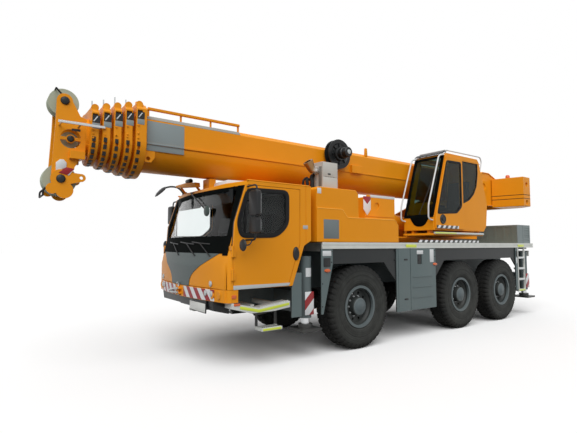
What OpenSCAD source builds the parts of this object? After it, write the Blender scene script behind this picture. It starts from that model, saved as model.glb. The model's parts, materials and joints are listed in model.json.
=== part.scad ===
// Three-axle all-terrain mobile crane with a six-part telescopic boom.
// Millimetres. X points to the front, Y to the left, Z up from the ground.

/* [Running gear] */
// Place of the front axle along the machine
front_axle_x = 1015; // [1005:5:1025]
// Distance from the first to the second axle
front_axle_spacing = 2950; // [2900:10:3000]
// Distance from the second to the third axle
rear_axle_spacing = 1650; // [1620:10:1680]
// Tyre outside diameter
tyre_d = 1370; // [1340:5:1385]
// Tyre width
tyre_w = 385; // [360:5:400]
// Rim seat diameter
rim_d = 634; // [610:2:650]
// Width over the tyres
track_outer = 2550; // [2530:10:2570]
// Kingpin distance inside the middle of the tyre
kingpin_inset = 100; // [90:5:110]
// Axle tube radius
axle_r = 105; // [90:5:115]
// Wheel spindle radius
spindle_r = 95; // [80:5:105]

/* [Carrier] */
// Front face of the bumper
carrier_front_x = 3645; // [3620:5:3670]
// Rear end of the deck
carrier_rear_x = -5215; // [-5240:5:-5190]
// Width over the panels
carrier_w = 2500; // [2480:10:2520]
// Height of the deck's top face
deck_z = 1745; // [1735:5:1755]
// Height of the aluminium edge rail
rail_h = 105; // [90:5:120]
// Half width of the box frame
frame_half_w = 430; // [400:10:450]
// Under side of the box frame
frame_z0 = 950; // [930:5:970]
// Panel thickness of the side skirts
skirt_t = 30; // [20:2:40]
// Lower edge of the side skirts
skirt_z0 = 500; // [480:10:540]

/* [Outriggers] */
// Width of one outrigger beam
beam_w = 120; // [100:5:130]
// Height of one outrigger beam
beam_h = 300; // [280:5:310]
// Middle of the front outriggers
front_outrigger_x = 2050; // [2040:5:2060]
// Middle of the rear outriggers
rear_outrigger_x = -5005; // [-5015:5:-4995]
// Distance of the jack from the middle of the machine
jack_y = 1080; // [1070:5:1090]
// Outside radius of the jack tube
jack_tube_r = 95; // [85:5:100]
// Radius of the jack rod
jack_rod_r = 65; // [55:5:70]
// Width of the square support pad
pad_w = 370; // [340:10:380]
// Under side of the support pad when lifted
pad_z = 400; // [380:10:420]

/* [Driver cab] */
// Rear wall of the driver's cab
cab_rear_x = 2065; // [2055:5:2075]
// Roof height of the driver's cab
cab_roof_z = 2600; // [2580:5:2610]
// Floor height of the driver's cab
cab_floor_z = 1105; // [1095:5:1115]
// Wall and door thickness of the driver's cab
cab_wall = 55; // [45:5:60]
// Thickness of all the window panes
glass_t = 8; // [6:1:10]

/* [Superstructure] */
// Distance of the slewing axis behind the front axle
slew_back = 3250; // [3230:5:3270]
// Radius of the slewing ring
slew_r = 780; // [740:10:800]
// Boom pivot behind the slewing axis
pivot_back = 2165; // [2150:5:2180]
// Height of the boom pivot
pivot_z = 3220; // [3210:5:3230]
// Radius of the boom pivot pin
pivot_r = 80; // [70:5:85]
// Inner face of the superstructure's side plates
plate_y = 400; // [395:5:405]
// Thickness of the side plates
plate_t = 40; // [30:5:45]
// Rear face of the counterweight behind the slewing axis
tail_back = 3310; // [3290:5:3320]
// Half width of the counterweight
ballast_half_w = 1200; // [1180:10:1220]
// Under side of the counterweight
ballast_z0 = 2690; // [2685:5:2700]
// Top of the counterweight
ballast_z1 = 3440; // [3420:10:3460]

/* [Boom] */
// Width of the outer boom section
boom_w = 720; // [700:10:730]
// Under side of the outer boom section
boom_z0 = 2770; // [2760:5:2780]
// Top of the outer boom section
boom_z1 = 3540; // [3530:5:3550]
// Wall of the boom sections
boom_wall = 12; // [10:1:14]
// Gap between one boom section and the next, each side
boom_gap = 18; // [16:1:20]
// Front face of the outer section's collar
boom_front_x = 4485; // [4475:5:4495]
// Distance from one collar's front face to the next
collar_step = 136; // [130:2:142]
// Length of a section's collar
collar_t = 92; // [84:1:100]
// Boom nose, the foremost point
nose_x = 5545; // [5535:5:5555]
// Radius of the head sheaves
sheave_r = 185; // [170:5:190]

/* [Luffing cylinder] */
// Lower pivot behind the slewing axis
ram_foot_back = 450; // [440:5:460]
// Height of the lower pivot
ram_foot_z = 2050; // [2040:5:2060]
// Upper pivot in front of the slewing axis
ram_head_fwd = 3450; // [3440:5:3460]
// Height of the upper pivot
ram_head_z = 2580; // [2570:5:2590]
// Outside radius of the cylinder barrel
ram_barrel_r = 150; // [140:5:155]
// Radius of the cylinder rod
ram_rod_r = 105; // [95:5:110]

/* [Crane cab] */
// Inner side wall of the crane cab
crane_cab_y0 = 465; // [460:5:475]
// Outer side wall of the crane cab
crane_cab_y1 = 1195; // [1180:5:1200]
// Under side of the crane cab
crane_cab_z0 = 2000; // [1995:5:2010]
// Roof of the crane cab
crane_cab_z1 = 3620; // [3600:5:3630]
// Wall thickness of the crane cab
crane_cab_wall = 45; // [35:5:50]
// Thickness of the sliding door
crane_door_t = 30; // [25:1:35]

/* [Hidden] */
$fn = 48;

// Seat gap between pieces that rest on or slide along each other
seat = 0.3;
// Running gap of a pin in its bore
run = 0.06;

yellow = [0.95, 0.62, 0.05];
dark_grey = [0.30, 0.31, 0.32];
mid_grey = [0.50, 0.51, 0.52];
light_grey = [0.72, 0.73, 0.73];
silver = [0.78, 0.79, 0.80];
black = [0.08, 0.08, 0.09];
glass = [0.35, 0.42, 0.45, 0.4];

axle_x = [front_axle_x, front_axle_x - front_axle_spacing,
    front_axle_x - front_axle_spacing - rear_axle_spacing];
hub_z = tyre_d / 2;
tyre_y = (track_outer - tyre_w) / 2;
kingpin_y = tyre_y - kingpin_inset;
half_w = carrier_w / 2;
slew_x = front_axle_x - slew_back;
pivot_x = slew_x - pivot_back;
tail_x = slew_x - tail_back;

// Extrudes an outline drawn in X and Z from y0 to y1
module along_y(y0, y1) translate([0, y1, 0]) rotate([90, 0, 0]) linear_extrude(y1 - y0) children();

// Extrudes an outline drawn in Y and Z from x0 to x1
module along_x(x0, x1) translate([x0, 0, 0]) rotate([90, 0, 90]) linear_extrude(x1 - x0) children();

// A round bar along Y
module bar_y(x, z, r, y0, y1) translate([x, y0, z]) rotate([-90, 0, 0]) cylinder(h = y1 - y0, r = r);

// A block given by its two corners
module block(low, high) translate(low) cube(high - low);

// The children and their mirror image on the other side
module both_sides() {
    children();
    mirror([0, 1, 0]) children();
}

// Puts a left-hand piece on its side, 1 for left and -1 for right
module on_side(side) mirror([0, side < 0 ? 1 : 0, 0]) children();

// Moves each edge of a counter-clockwise outline inwards by d
function unit(v) = v / norm(v);
function inset_corner(a, b, c, d) = let (
    u = unit(b - a),
    w = unit(c - b),
    n = [-u[1], u[0]],
    m = [-w[1], w[0]]) b + (n + m) * (d / (1 + n * m));
function inset(pts, d) = let (n = len(pts))
    [for (i = [0 : n - 1]) inset_corner(pts[(i + n - 1) % n], pts[i], pts[(i + 1) % n], d)];

// Frame and outriggers
frame_z1 = 1600;
low_frame_z0 = 760;
low_frame_z1 = 1060;
frame_front_x = carrier_front_x - 195;
box_wall = 20;
box_half_l = jack_y - jack_tube_r - 10;
beam_z0 = 690;
beam_split = 5;
pedestal_z1 = deck_z + 15;

module outrigger_box(x) block(
    [x - beam_split - beam_w - box_wall, -box_half_l, beam_z0 - box_wall],
    [x + beam_split + beam_w + box_wall, box_half_l, beam_z0 + beam_h + box_wall]);

module beam_channel(x, side) on_side(side) block(
    [side > 0 ? x - beam_split - beam_w - seat : x + beam_split - seat, -box_half_l - 1, beam_z0 - seat],
    [side > 0 ? x - beam_split + seat : x + beam_split + beam_w + seat, box_half_l + 1, beam_z0 + beam_h + seat]);

tow_eye_r = 25;
module tow_eye(x, z) difference() {
    tow_eye_body(x, z);
    translate([x, 0, z - 61]) cylinder(h = 122, r = tow_eye_r);
}
module tow_eye_body(x, z) {
    translate([x, 0, z - 30]) cylinder(h = 60, r = 70);
    block([x - 10, -70, z - 30], [x + 120 - seat, 70, z + 30]);
}

module chassis_frame() color(mid_grey) {
    difference() {
        union() {
            along_y(-frame_half_w, frame_half_w) polygon([
                [carrier_rear_x + 40, frame_z0], [1850, frame_z0], [2300, low_frame_z0],
                [frame_front_x, low_frame_z0], [frame_front_x, low_frame_z1], [2000, low_frame_z1],
                [1900, frame_z1], [carrier_rear_x + 40, frame_z1]]);
            for (x = [front_outrigger_x, rear_outrigger_x]) outrigger_box(x);
            translate([slew_x, 0, frame_z1 - 1]) cylinder(h = pedestal_z1 - frame_z1 + 1, r = slew_r, $fn = 96);
            for (x = [2560, 3330], y = [-380, 380])
                translate([x, y, low_frame_z1 - 1]) cylinder(h = cab_floor_z - low_frame_z1 + 1, r = 45);
        }
        for (x = [front_outrigger_x, rear_outrigger_x], side = [-1, 1]) beam_channel(x, side);
    }
    translate([carrier_rear_x + 40 - 120, 0, 0]) tow_eye(0, 1250);
}

// Axles with their steering yokes
yoke_gap = 195;
yoke_t = 50;
yoke_half_w = 62;
kingpin_r = 35;
beam_end_y = 770;

module axle_side(x) {
    block([x - 75, beam_end_y - 30, hub_z - yoke_gap - yoke_t], [x + 75, beam_end_y, hub_z + yoke_gap + yoke_t]);
    for (s = [-1, 1]) difference() {
        union() {
            translate([x - yoke_half_w, beam_end_y - 1, hub_z + s * (yoke_gap + yoke_t / 2) - yoke_t / 2])
                cube([2 * yoke_half_w, kingpin_y - beam_end_y + 1, yoke_t]);
            translate([x, kingpin_y, hub_z + s * (yoke_gap + yoke_t / 2) - yoke_t / 2])
                cylinder(h = yoke_t, r = yoke_half_w);
        }
        translate([x, kingpin_y, hub_z - 300]) cylinder(h = 600, r = kingpin_r + run);
    }
    translate([x, 330, hub_z]) cylinder(h = frame_z0 - hub_z, r = 60);
}

module axles() color(black)
    for (x = axle_x) {
        bar_y(x, hub_z, axle_r, -beam_end_y + 1, beam_end_y - 1);
        translate([x, 0, hub_z]) sphere(r = 190);
        both_sides() axle_side(x);
    }

module knuckle(x, side) color(dark_grey) on_side(side) {
    translate([x, kingpin_y, hub_z - yoke_gap + seat]) cylinder(h = 2 * (yoke_gap - seat), r = 55);
    translate([x, kingpin_y, hub_z - yoke_gap - yoke_t]) cylinder(h = 2 * (yoke_gap + yoke_t), r = kingpin_r);
    bar_y(x, hub_z, 185, kingpin_y + 50, kingpin_y + 75);
    bar_y(x, hub_z, spindle_r, kingpin_y, tyre_y + 128);
}

// Wheels, drawn about the wheel's own axis with the outside towards plus Z
rim_r = rim_d / 2;
flange_r = rim_r + 29;
module wheel_place(x, side) on_side(side) translate([x, tyre_y, hub_z]) rotate([-90, 0, 0]) children();

hub_r = 135;
disc_z = 30;
hand_holes = 10;
hand_hole_r = 24;
module rim_form() rotate_extrude($fn = 64) polygon([
    [spindle_r + run, -20], [hub_r, -20], [hub_r, disc_z], [rim_r - 55, disc_z], [rim_r - 14, -20], [rim_r - 14, -172],
    [flange_r, -172], [flange_r, -160], [rim_r, -160], [rim_r, 160], [flange_r, 160], [flange_r, 172],
    [rim_r - 14, 172], [rim_r - 14, 95], [rim_r - 47, disc_z + 25], [hub_r + 30, disc_z + 25], [hub_r + 15, 150],
    [hub_r - 15, 165], [0, 165], [0, 130], [spindle_r + run, 130]]);

module rim(x, side) color(light_grey) wheel_place(x, side) difference() {
    rim_form();
    for (i = [0 : hand_holes - 1]) rotate([0, 0, i * 360 / hand_holes])
        translate([(hub_r + rim_r) / 2 - 5, 0, 0]) cylinder(h = disc_z + 40, r = hand_hole_r);
}

module tyre(x, side) color(black) wheel_place(x, side) rotate_extrude($fn = 64) {
    half = tyre_w / 2;
    r = tyre_d / 2;
    polygon([
        [rim_r + seat, -158], [flange_r + 6, -158], [flange_r + 40, -half + 8], [flange_r + 110, -half],
        [r - 110, -half + 2], [r - 45, -half + 14], [r, -half + 45], [r, half - 45], [r - 45, half - 14],
        [r - 110, half - 2], [flange_r + 110, half], [flange_r + 40, half - 8], [flange_r + 6, 158],
        [rim_r + seat, 158]]);
}

// Outrigger beam with its jack tube, and the jack's rod with its pad
jack_z1 = 1530;
jack_z0 = 590;
beam_inner_y = -box_half_l + 5;
module outrigger_beam(x, side) color(mid_grey) on_side(side) difference() {
    union() {
        block([side > 0 ? x - beam_split - beam_w : x + beam_split, beam_inner_y, beam_z0],
            [side > 0 ? x - beam_split : x + beam_split + beam_w, jack_y, beam_z0 + beam_h]);
        translate([x, jack_y, jack_z0]) cylinder(h = jack_z1 - jack_z0, r = jack_tube_r);
    }
    translate([x, jack_y, jack_z0 - 1]) cylinder(h = 850, r = jack_rod_r + run);
}

module jack(x, side) color(silver) on_side(side) {
    translate([x, jack_y, pad_z + 20]) cylinder(h = 980, r = jack_rod_r);
    translate([x, jack_y, pad_z + 30]) cylinder(h = 70, r = jack_rod_r + 45);
    translate([x - pad_w / 2, jack_y - pad_w / 2, pad_z]) cube([pad_w, pad_w, 40]);
}

// Outer and inner faces of the side panels
skirt_y1 = half_w - 5;
skirt_z1 = deck_z - rail_h;
recess = 22;

// Aluminium deck with its edge rails, the cab steps and the rear ladders
rail_w = 35;
rail_front_x = 1835;
deck_t = 25;
bearer_x = [-4950, -4150, -3300, -1150, -150, 850, 1700];
ladder_x = -4585;
ladder_w = 320;
ladder_z0 = 580;
step_y0 = 1050;

module rail_section() difference() {
    translate([half_w - rail_w, deck_z - rail_h]) square([rail_w, rail_h]);
    translate([half_w - 8, deck_z - rail_h * 0.62]) square([9, rail_h * 0.24]);
}

module ladder() {
    for (s = [-1, 1]) block([ladder_x + s * ladder_w / 2 - 15, half_w - rail_w, ladder_z0],
        [ladder_x + s * ladder_w / 2 + 15, half_w, deck_z - rail_h]);
    for (z = [ladder_z0 + 10 : 260 : deck_z - rail_h - 100])
        block([ladder_x - ladder_w / 2 + 14, half_w - rail_w - 90, z], [ladder_x + ladder_w / 2 - 14, half_w, z + 45]);
}

module cab_steps() {
    along_y(step_y0, half_w) polygon([[2465, 800], [2990, 740], [3010, 740], [3425, 850], [3425, bumper_z0 - seat],
        [2995, 830], [2465, 890]]);
    for (x = [2600, 2930]) block([x, step_y0, 500], [x + 15, step_y0 + 60, 790]);
    block([2600, step_y0, 500], [2945, half_w, 545]);
    for (x = [2560, 2960]) block([x, frame_half_w, 800], [x + 60, step_y0 + 5, 860]);
}

lamp_bar_z0 = 1420;
lamp_bar_h = 140;
lamp_bar_t = 40 - seat;
lamp_bar_half_l = half_w - 100;
module rear_lamp_bar() {
    block([carrier_rear_x, -lamp_bar_half_l, lamp_bar_z0], [carrier_rear_x + lamp_bar_t, lamp_bar_half_l, lamp_bar_z0 + lamp_bar_h]);
    both_sides() {
        block([carrier_rear_x, lamp_bar_half_l - 320, lamp_bar_z0 + lamp_bar_h - 1],
            [carrier_rear_x + lamp_bar_t, lamp_bar_half_l - 260, deck_z - deck_t + 1]);
        for (i = [0 : 2]) translate([carrier_rear_x + 1, lamp_bar_half_l - 90 - 125 * i, lamp_bar_z0 + lamp_bar_h / 2])
            rotate([0, -90, 0]) cylinder(h = 26, r1 = 55, r2 = 46);
    }
}

bearer_half_l = skirt_y1 - skirt_t - recess - seat;
module deck() color(silver) {
    rear_lamp_bar();
    difference() {
        union() {
            both_sides() along_x(carrier_rear_x, rail_front_x) rail_section();
            block([carrier_rear_x, -half_w + rail_w - 1, deck_z - deck_t], [rail_front_x, half_w - rail_w + 1, deck_z]);
            for (x = bearer_x)
                block([x - 40, -bearer_half_l, frame_z1], [x + 40, bearer_half_l, deck_z - deck_t + 1]);
        }
        translate([slew_x, 0, frame_z1 - 1]) cylinder(h = 300, r = slew_r + seat, $fn = 96);
    }
    both_sides() {
        ladder();
        cab_steps();
    }
}

// Grey side panels: strips and lockers between the wheel arches, recessed panels over the tyres
arch_z = 1400;
mid_skirt_x0 = -1095;
mid_skirt_x1 = 75;

module skirt_panel(pts) along_y(skirt_y1 - skirt_t, skirt_y1) polygon(pts);
module arch_panel(pts) along_y(skirt_y1 - skirt_t - recess, skirt_y1 - recess) polygon(pts);

locker_seam_x = mid_skirt_x0 + 770;
seam_w = 12;
seam_d = 14;
rib_out = 8;

// The locker between the wheels: a door with pressed ribs and a handle pocket beside a narrow door
module mid_locker() {
    difference() {
        skirt_panel([[mid_skirt_x0, skirt_z0], [mid_skirt_x1, skirt_z0], [mid_skirt_x1, skirt_z1],
            [mid_skirt_x0, skirt_z1]]);
        for (x = [locker_seam_x, mid_skirt_x1 - 55])
            block([x, skirt_y1 - seam_d, skirt_z0 - 1], [x + seam_w, skirt_y1 + 1, skirt_z1 + 1]);
        block([mid_skirt_x0 + 430, skirt_y1 - seam_d, skirt_z1 - 300], [mid_skirt_x0 + 570, skirt_y1 + 1, skirt_z1 - 120]);
    }
    for (z = [skirt_z0 + 220 : 190 : skirt_z0 + 780])
        block([mid_skirt_x0 + 130, skirt_y1 - 1, z], [locker_seam_x - 60, skirt_y1 + rib_out, z + 26]);
}

module side_skirts() color(dark_grey) both_sides() {
    skirt_panel([[1815, 630], [1855, 630], [1855, skirt_z1], [1615, skirt_z1], [1615, arch_z]]);
    arch_panel([[mid_skirt_x1 - 1, 1060], [mid_skirt_x1 + 310, arch_z], [1616, arch_z], [1616, skirt_z1],
        [mid_skirt_x1 - 1, skirt_z1]]);
    mid_locker();
    arch_panel([[mid_skirt_x0 + 1, 1060], [mid_skirt_x0 + 1, skirt_z1], [-4399, skirt_z1], [-4399, 1150],
        [-4145, arch_z], [mid_skirt_x0 - 320, arch_z]]);
    skirt_panel([[-4400, 630], [-4310, 630], [-4310, skirt_z1], [-4400, skirt_z1]]);
    skirt_panel([[2245, 640], [2425, 640], [2425, 1080], [2350, 1290], [2245, 1290]]);
    block([2250, frame_half_w, 1010], [2310, skirt_y1 - skirt_t + 1, 1050]);
}

// Engine and its housing behind the driver's cab
housing_x0 = 5;
housing_x1 = 1945;
housing_step_x = 1015;
housing_low_z = 2150;
housing_top_z = 2620;
housing_inner_y = 450;
housing_t = 40;

module engine_block() color(dark_grey) {
    block([450, -380, deck_z], [1750, 380, 2085]);
}

housing_panel_t = 14;
panel_step_z = housing_low_z + 130;
panel_step_x = housing_x1 - 545;
grille_x0 = housing_x0 + 160;
grille_slats = 7;
grille_pitch = 105;
grille_slot = 60;
side_box_x0 = housing_x0 - 390;
side_box_x1 = housing_x0 + 440;
side_box_y0 = 480;
side_box_y1 = 840;

// Outline of the housing's upper box, in X and Z
module upper_box_outline() polygon([[housing_step_x, housing_low_z - 1], [housing_x1, housing_low_z - 1],
    [housing_x1, housing_top_z - 40], [housing_x1 - 40, housing_top_z], [housing_step_x + 60, housing_top_z],
    [housing_step_x, housing_top_z - 60]]);

// Boxes beside the boom, each with a lip rail and a round grab recess
module side_box() {
    difference() {
        block([side_box_x0, side_box_y0, housing_low_z - 1], [side_box_x1, side_box_y1, housing_top_z - 30]);
        bar_y(side_box_x1 - 320, housing_top_z - 190, 70, side_box_y1 - 18, side_box_y1 + 1);
        block([side_box_x0 - 1, side_box_y1 - 12, housing_low_z + 70], [side_box_x1 + 1, side_box_y1 + 1, housing_low_z + 82]);
    }
    block([side_box_x0, side_box_y1 - 30, housing_top_z - 31], [side_box_x1 - 60, side_box_y1, housing_top_z + 15]);
}

module engine_housing() color(yellow) {
    difference() {
        union() {
            along_y(-half_w, half_w) polygon([[housing_x0, deck_z], [housing_x1, deck_z],
                [housing_x1, housing_low_z], [housing_x0 + 90, housing_low_z], [housing_x0, housing_low_z - 110]]);
            both_sides() {
                along_y(housing_inner_y, half_w - housing_panel_t) upper_box_outline();
                along_y(half_w - housing_panel_t - 1, half_w) polygon([[panel_step_x - 110, housing_low_z - 1],
                    [housing_x1, housing_low_z - 1], [housing_x1, panel_step_z], [panel_step_x, panel_step_z]]);
            }
        }
        block([housing_x0 + housing_t, -half_w + housing_t, deck_z - 1],
            [housing_x1 - housing_t, half_w - housing_t, housing_low_z - housing_t - 20]);
        for (i = [0 : grille_slats - 1])
            block([grille_x0 + i * grille_pitch, -330, housing_low_z - housing_t - 21],
                [grille_x0 + i * grille_pitch + grille_slot, 330, housing_low_z + 1]);
    }
    both_sides() side_box();
}

// Exhaust box with its outlet pipe
exhaust_x0 = 1375;
exhaust_x1 = 1705;
exhaust_y0 = 850;
exhaust_y1 = 1110;
exhaust_z1 = 3060;
outlet_r = 62;
outlet_z = exhaust_z1 - 130;
outlet_l = 115;
outlet_lean = 35;
outlet_flare = 23;
module exhaust() color(light_grey) {
    outlet_y = (exhaust_y0 + exhaust_y1) / 2;
    difference() {
        block([exhaust_x0, exhaust_y0, housing_top_z], [exhaust_x1, exhaust_y1, exhaust_z1]);
        for (i = [0 : 3]) block([exhaust_x1 - 250 + 55 * i, exhaust_y1 - 12, housing_top_z + 70],
            [exhaust_x1 - 222 + 55 * i, exhaust_y1 + 1, outlet_z - 60]);
        block([exhaust_x0 - 1, exhaust_y1 - 8, outlet_z - 20], [exhaust_x1 + 1, exhaust_y1 + 1, outlet_z - 12]);
    }
    translate([exhaust_x1 - 5, outlet_y, outlet_z]) rotate([0, 90, 0]) cylinder(h = outlet_l + 5, r = outlet_r);
    translate([exhaust_x1 + outlet_l, outlet_y, outlet_z]) sphere(r = outlet_r);
    translate([exhaust_x1 + outlet_l, outlet_y, outlet_z]) rotate([0, outlet_lean, 0]) difference() {
        cylinder(h = 150, r1 = outlet_r, r2 = outlet_r + outlet_flare);
        translate([0, 0, 70]) cylinder(h = 81, r = outlet_r - 4);
    }
}

// Stowage boxes at the rear of the deck
deck_box_x0 = carrier_rear_x + 20;
deck_box_x1 = carrier_rear_x + 680;
deck_box_half_w = half_w - 50;
deck_box_z1 = deck_z + 455;
slat_d = 10;
module deck_boxes() color(mid_grey) difference() {
    block([deck_box_x0, -deck_box_half_w, deck_z], [deck_box_x1, deck_box_half_w, deck_box_z1]);
    for (y = [-deck_box_half_w + 100 : 220 : deck_box_half_w - 200], x = [deck_box_x0 - 1, deck_box_x1 - slat_d])
        block([x, y, deck_z + 60], [x + slat_d + 1, y + 180, deck_box_z1 - 50]);
    for (z = [deck_z + 60 : 58 : deck_box_z1 - 80]) both_sides()
        block([deck_box_x0 + 60, deck_box_half_w - slat_d, z], [deck_box_x0 + 330, deck_box_half_w + 1, z + 34]);
    both_sides() block([deck_box_x0 + 380, deck_box_half_w - slat_d, deck_z - 1],
        [deck_box_x0 + 392, deck_box_half_w + 1, deck_box_z1 + 1]);
}

// Driver's cab: a shell with a bowed front, two door openings and a windscreen
cab_bow_r = 5118;
bow_fn = 1440;
cab_corner_r = 60;
windscreen_z = 1600;
windscreen_x = carrier_front_x - 50;
windscreen_rake = 14.6;
door_gap = 6;
cab_side = [[cab_rear_x + 355, cab_floor_z], [carrier_front_x, cab_floor_z], [carrier_front_x, windscreen_z],
    [carrier_front_x - 290, cab_roof_z - 30], [carrier_front_x - 375, cab_roof_z], [cab_rear_x, cab_roof_z], [cab_rear_x, 1770], [2200, 1690]];
door_side = [[2480, cab_floor_z + 35], [3405, cab_floor_z + 35], [3420, 1650], [3395, 2010], [3225, 2540],
    [2275, 2540], [2275, 1715]];
door_window = [[2705, 1830], [3295, 1820], [3345, 2010], [3195, 2475], [2505, 2485], [2505, 2000]];
windscreen = [[-1140, windscreen_z + 40], [1140, windscreen_z + 40], [1100, 2510], [-1100, 2510]];

cab_corner_x = carrier_front_x - 220;
module cab_plan(d) intersection() {
    translate([carrier_front_x - cab_bow_r, 0]) circle(r = cab_bow_r - d, $fn = bow_fn);
    union() {
        translate([cab_rear_x - 65, -half_w + d]) square([cab_corner_x - cab_rear_x + 65, carrier_w - 2 * d]);
        translate([cab_rear_x - 65, -half_w + cab_corner_r])
            square([carrier_front_x - cab_rear_x + 66, carrier_w - 2 * cab_corner_r]);
        for (s = [-1, 1]) translate([cab_corner_x, s * (half_w - cab_corner_r)])
            circle(r = cab_corner_r - min(d, cab_corner_r - 1));
    }
}

module cab_form(d) intersection() {
    along_y(-half_w + d, half_w - d) polygon(inset(cab_side, d));
    translate([0, 0, 900]) linear_extrude(1900) cab_plan(d);
    translate([windscreen_x, 0, windscreen_z]) rotate([0, -windscreen_rake, 0])
        translate([-cab_bow_r, 0, -900]) cylinder(h = 2900, r = cab_bow_r - d, $fn = bow_fn);
}

hinge_x = 3430;
hinge_r = 16;
hinge_y = half_w + hinge_r + 2;
hinge_pin_r = 7;
hinge_z = [1230, 1540];
hinge_l = 90;

module hinge_barrel(z, l, x_in) {
    translate([hinge_x, hinge_y, z]) cylinder(h = l, r = hinge_r);
    block([x_in, half_w + 2, z], [hinge_x, hinge_y, z + l]);
    block([x_in, half_w - 6, z], [x_in + 15, hinge_y, z + l]);
}

module driver_cab() color(yellow) {
    difference() {
        union() {
            difference() {
                cab_form(0);
                cab_form(cab_wall);
            }
            block([3110, -120, cab_roof_z - 1], [3230, 120, boom_z0 - 6]);
            both_sides() for (z = hinge_z) {
                translate([hinge_x, hinge_y, z + hinge_l + seat]) cylinder(h = 60, r = hinge_r);
                block([hinge_x - 4, half_w - 60, z + hinge_l + seat], [hinge_x + 14, hinge_y, z + hinge_l + seat + 60]);
            }
        }
        both_sides() {
            along_y(half_w - cab_wall - 1, half_w + 1) polygon(door_side);
            block([cab_rear_x + 95, half_w - 8, 1600], [cab_rear_x + 103, half_w + 1, cab_roof_z + 1]);
        }
        along_x(carrier_front_x - 645, carrier_front_x + 1) polygon(windscreen);
    }
    beacon(cab_rear_x + 130, -500, cab_roof_z);
    both_sides() for (z = hinge_z)
        translate([hinge_x, hinge_y, z]) cylinder(h = hinge_l + 60, r = hinge_pin_r);
}

module cab_glazing() color(glass) intersection() {
    difference() {
        cab_form(12);
        cab_form(12 + glass_t);
    }
    along_x(carrier_front_x - 645, carrier_front_x + 1) polygon(inset(windscreen, seat));
}

module seat_shape(x, y) {
    block([x, y - 240, 0], [x + 430, y + 240, 130]);
    block([x + 60, y - 180, -300], [x + 370, y + 180, 1]);
    along_y(y - 230, y + 230) polygon([[x, 100], [x + 120, 100], [x + 20, 720], [x - 80, 720]]);
}

module cab_interior() color(black) {
    cab_in_z = cab_floor_z + cab_wall + seat;
    along_y(-1050, 1050) polygon([[3280, cab_in_z], [3430, cab_in_z], [3430, 1560], [3250, 1580], [3220, 1500]]);
    for (y = [-560, 560]) translate([0, 0, cab_in_z + 300]) seat_shape(2540, y);
    translate([3260, 560, 1520]) rotate([0, -40, 0]) cylinder(h = 330, r = 35);
    translate([3260, 560, 1520]) rotate([0, -40, 0]) translate([0, 0, 310])
        rotate_extrude() translate([210, 0]) circle(r = 18);
    translate([3260, 560, 1520]) rotate([0, -40, 0]) translate([-200, -20, 300]) cube([400, 40, 20]);
}

// Front bumper with its lamps
bumper_z0 = 930;
bumper_t = 70;
bumper_x0 = carrier_front_x - 315;
headlamp_y = [930, 1070];
headlamp_z = 1018;
headlamp_r = 52;
jaw_half_w = 75;
// Face of the bowed bumper at a distance from the middle
function bumper_face_x(y) = carrier_front_x - cab_bow_r + sqrt(cab_bow_r * cab_bow_r - y * y);
module front_bumper() color(yellow) {
    difference() {
        translate([0, 0, bumper_z0]) linear_extrude(cab_floor_z - bumper_z0 - 5) cab_plan(0);
        translate([0, 0, bumper_z0 - 1]) linear_extrude(400) cab_plan(bumper_t);
        block([cab_rear_x - 66, -carrier_w, bumper_z0 - 1], [bumper_x0, carrier_w, cab_floor_z + 1]);
    }
    both_sides() {
        block([frame_front_x, 200, bumper_z0 + 10], [carrier_front_x - 55, 320, low_frame_z1 - 20]);
        for (y = headlamp_y) translate([bumper_face_x(y) - 30, y, headlamp_z]) rotate([0, 90, 0]) cylinder(h = 38, r = headlamp_r);
    }
    for (z = [bumper_z0 + 35, bumper_z0 + 105])
        block([carrier_front_x - 40, -jaw_half_w, z], [carrier_front_x + 45, jaw_half_w, z + 22]);
    translate([carrier_front_x + 15, 0, bumper_z0 + 20]) cylinder(h = 125, r = 18);
}

// Doors of the driver's cab, hung at the front edge
module door(side) color(yellow) on_side(side) difference() {
    union() {
        along_y(half_w - cab_wall, half_w) polygon(inset(door_side, door_gap));
        for (z = hinge_z) hinge_barrel(z, hinge_l, 3375);
    }
    along_y(half_w - cab_wall - 1, half_w + 1) polygon(door_window);
    for (z = hinge_z) translate([hinge_x, hinge_y, z - 1]) cylinder(h = hinge_l + 2, r = hinge_pin_r + run);
}

mirror_x = 3215;
mirror_y = 1495;
module door_mirror(side) color(black) on_side(side) {
    for (z = [1770, 2510]) bar_y(mirror_x - (z > 2000 ? 20 : 0), z, 13, half_w, mirror_y + 13);
    along_y(mirror_y - 13, mirror_y + 13) polygon([[mirror_x - 13, 1757], [mirror_x + 13, 1757],
        [mirror_x - 7, 2523], [mirror_x - 33, 2523]]);
    block([mirror_x - 30, mirror_y - 105, 2090], [mirror_x + 50, mirror_y + 105, 2430]);
    block([mirror_x - 30, mirror_y - 105, 1860], [mirror_x + 50, mirror_y + 105, 2070]);
}

// Superstructure frame
ring_z = pedestal_z1 + seat;
floor_z0 = 1850;
floor_z1 = 1885;
plate_y1 = plate_y + plate_t;
ram_foot_x = slew_x - ram_foot_back;
ram_head_x = slew_x + ram_head_fwd;
ram_angle = atan2(ram_head_z - ram_foot_z, ram_head_x - ram_foot_x);
ram_len = norm([ram_head_x - ram_foot_x, ram_head_z - ram_foot_z]);
ram_pin_r = 60;
platform_z1 = crane_cab_z0 - 60;
winch_x = slew_x - 2885;
winch_z = 3230;
winch_shaft_r = 45;
tilt_x = -2930;
tilt_z = crane_cab_z0 - 25;
tilt_r = 16;
tilt_ring_r = 24;

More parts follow.
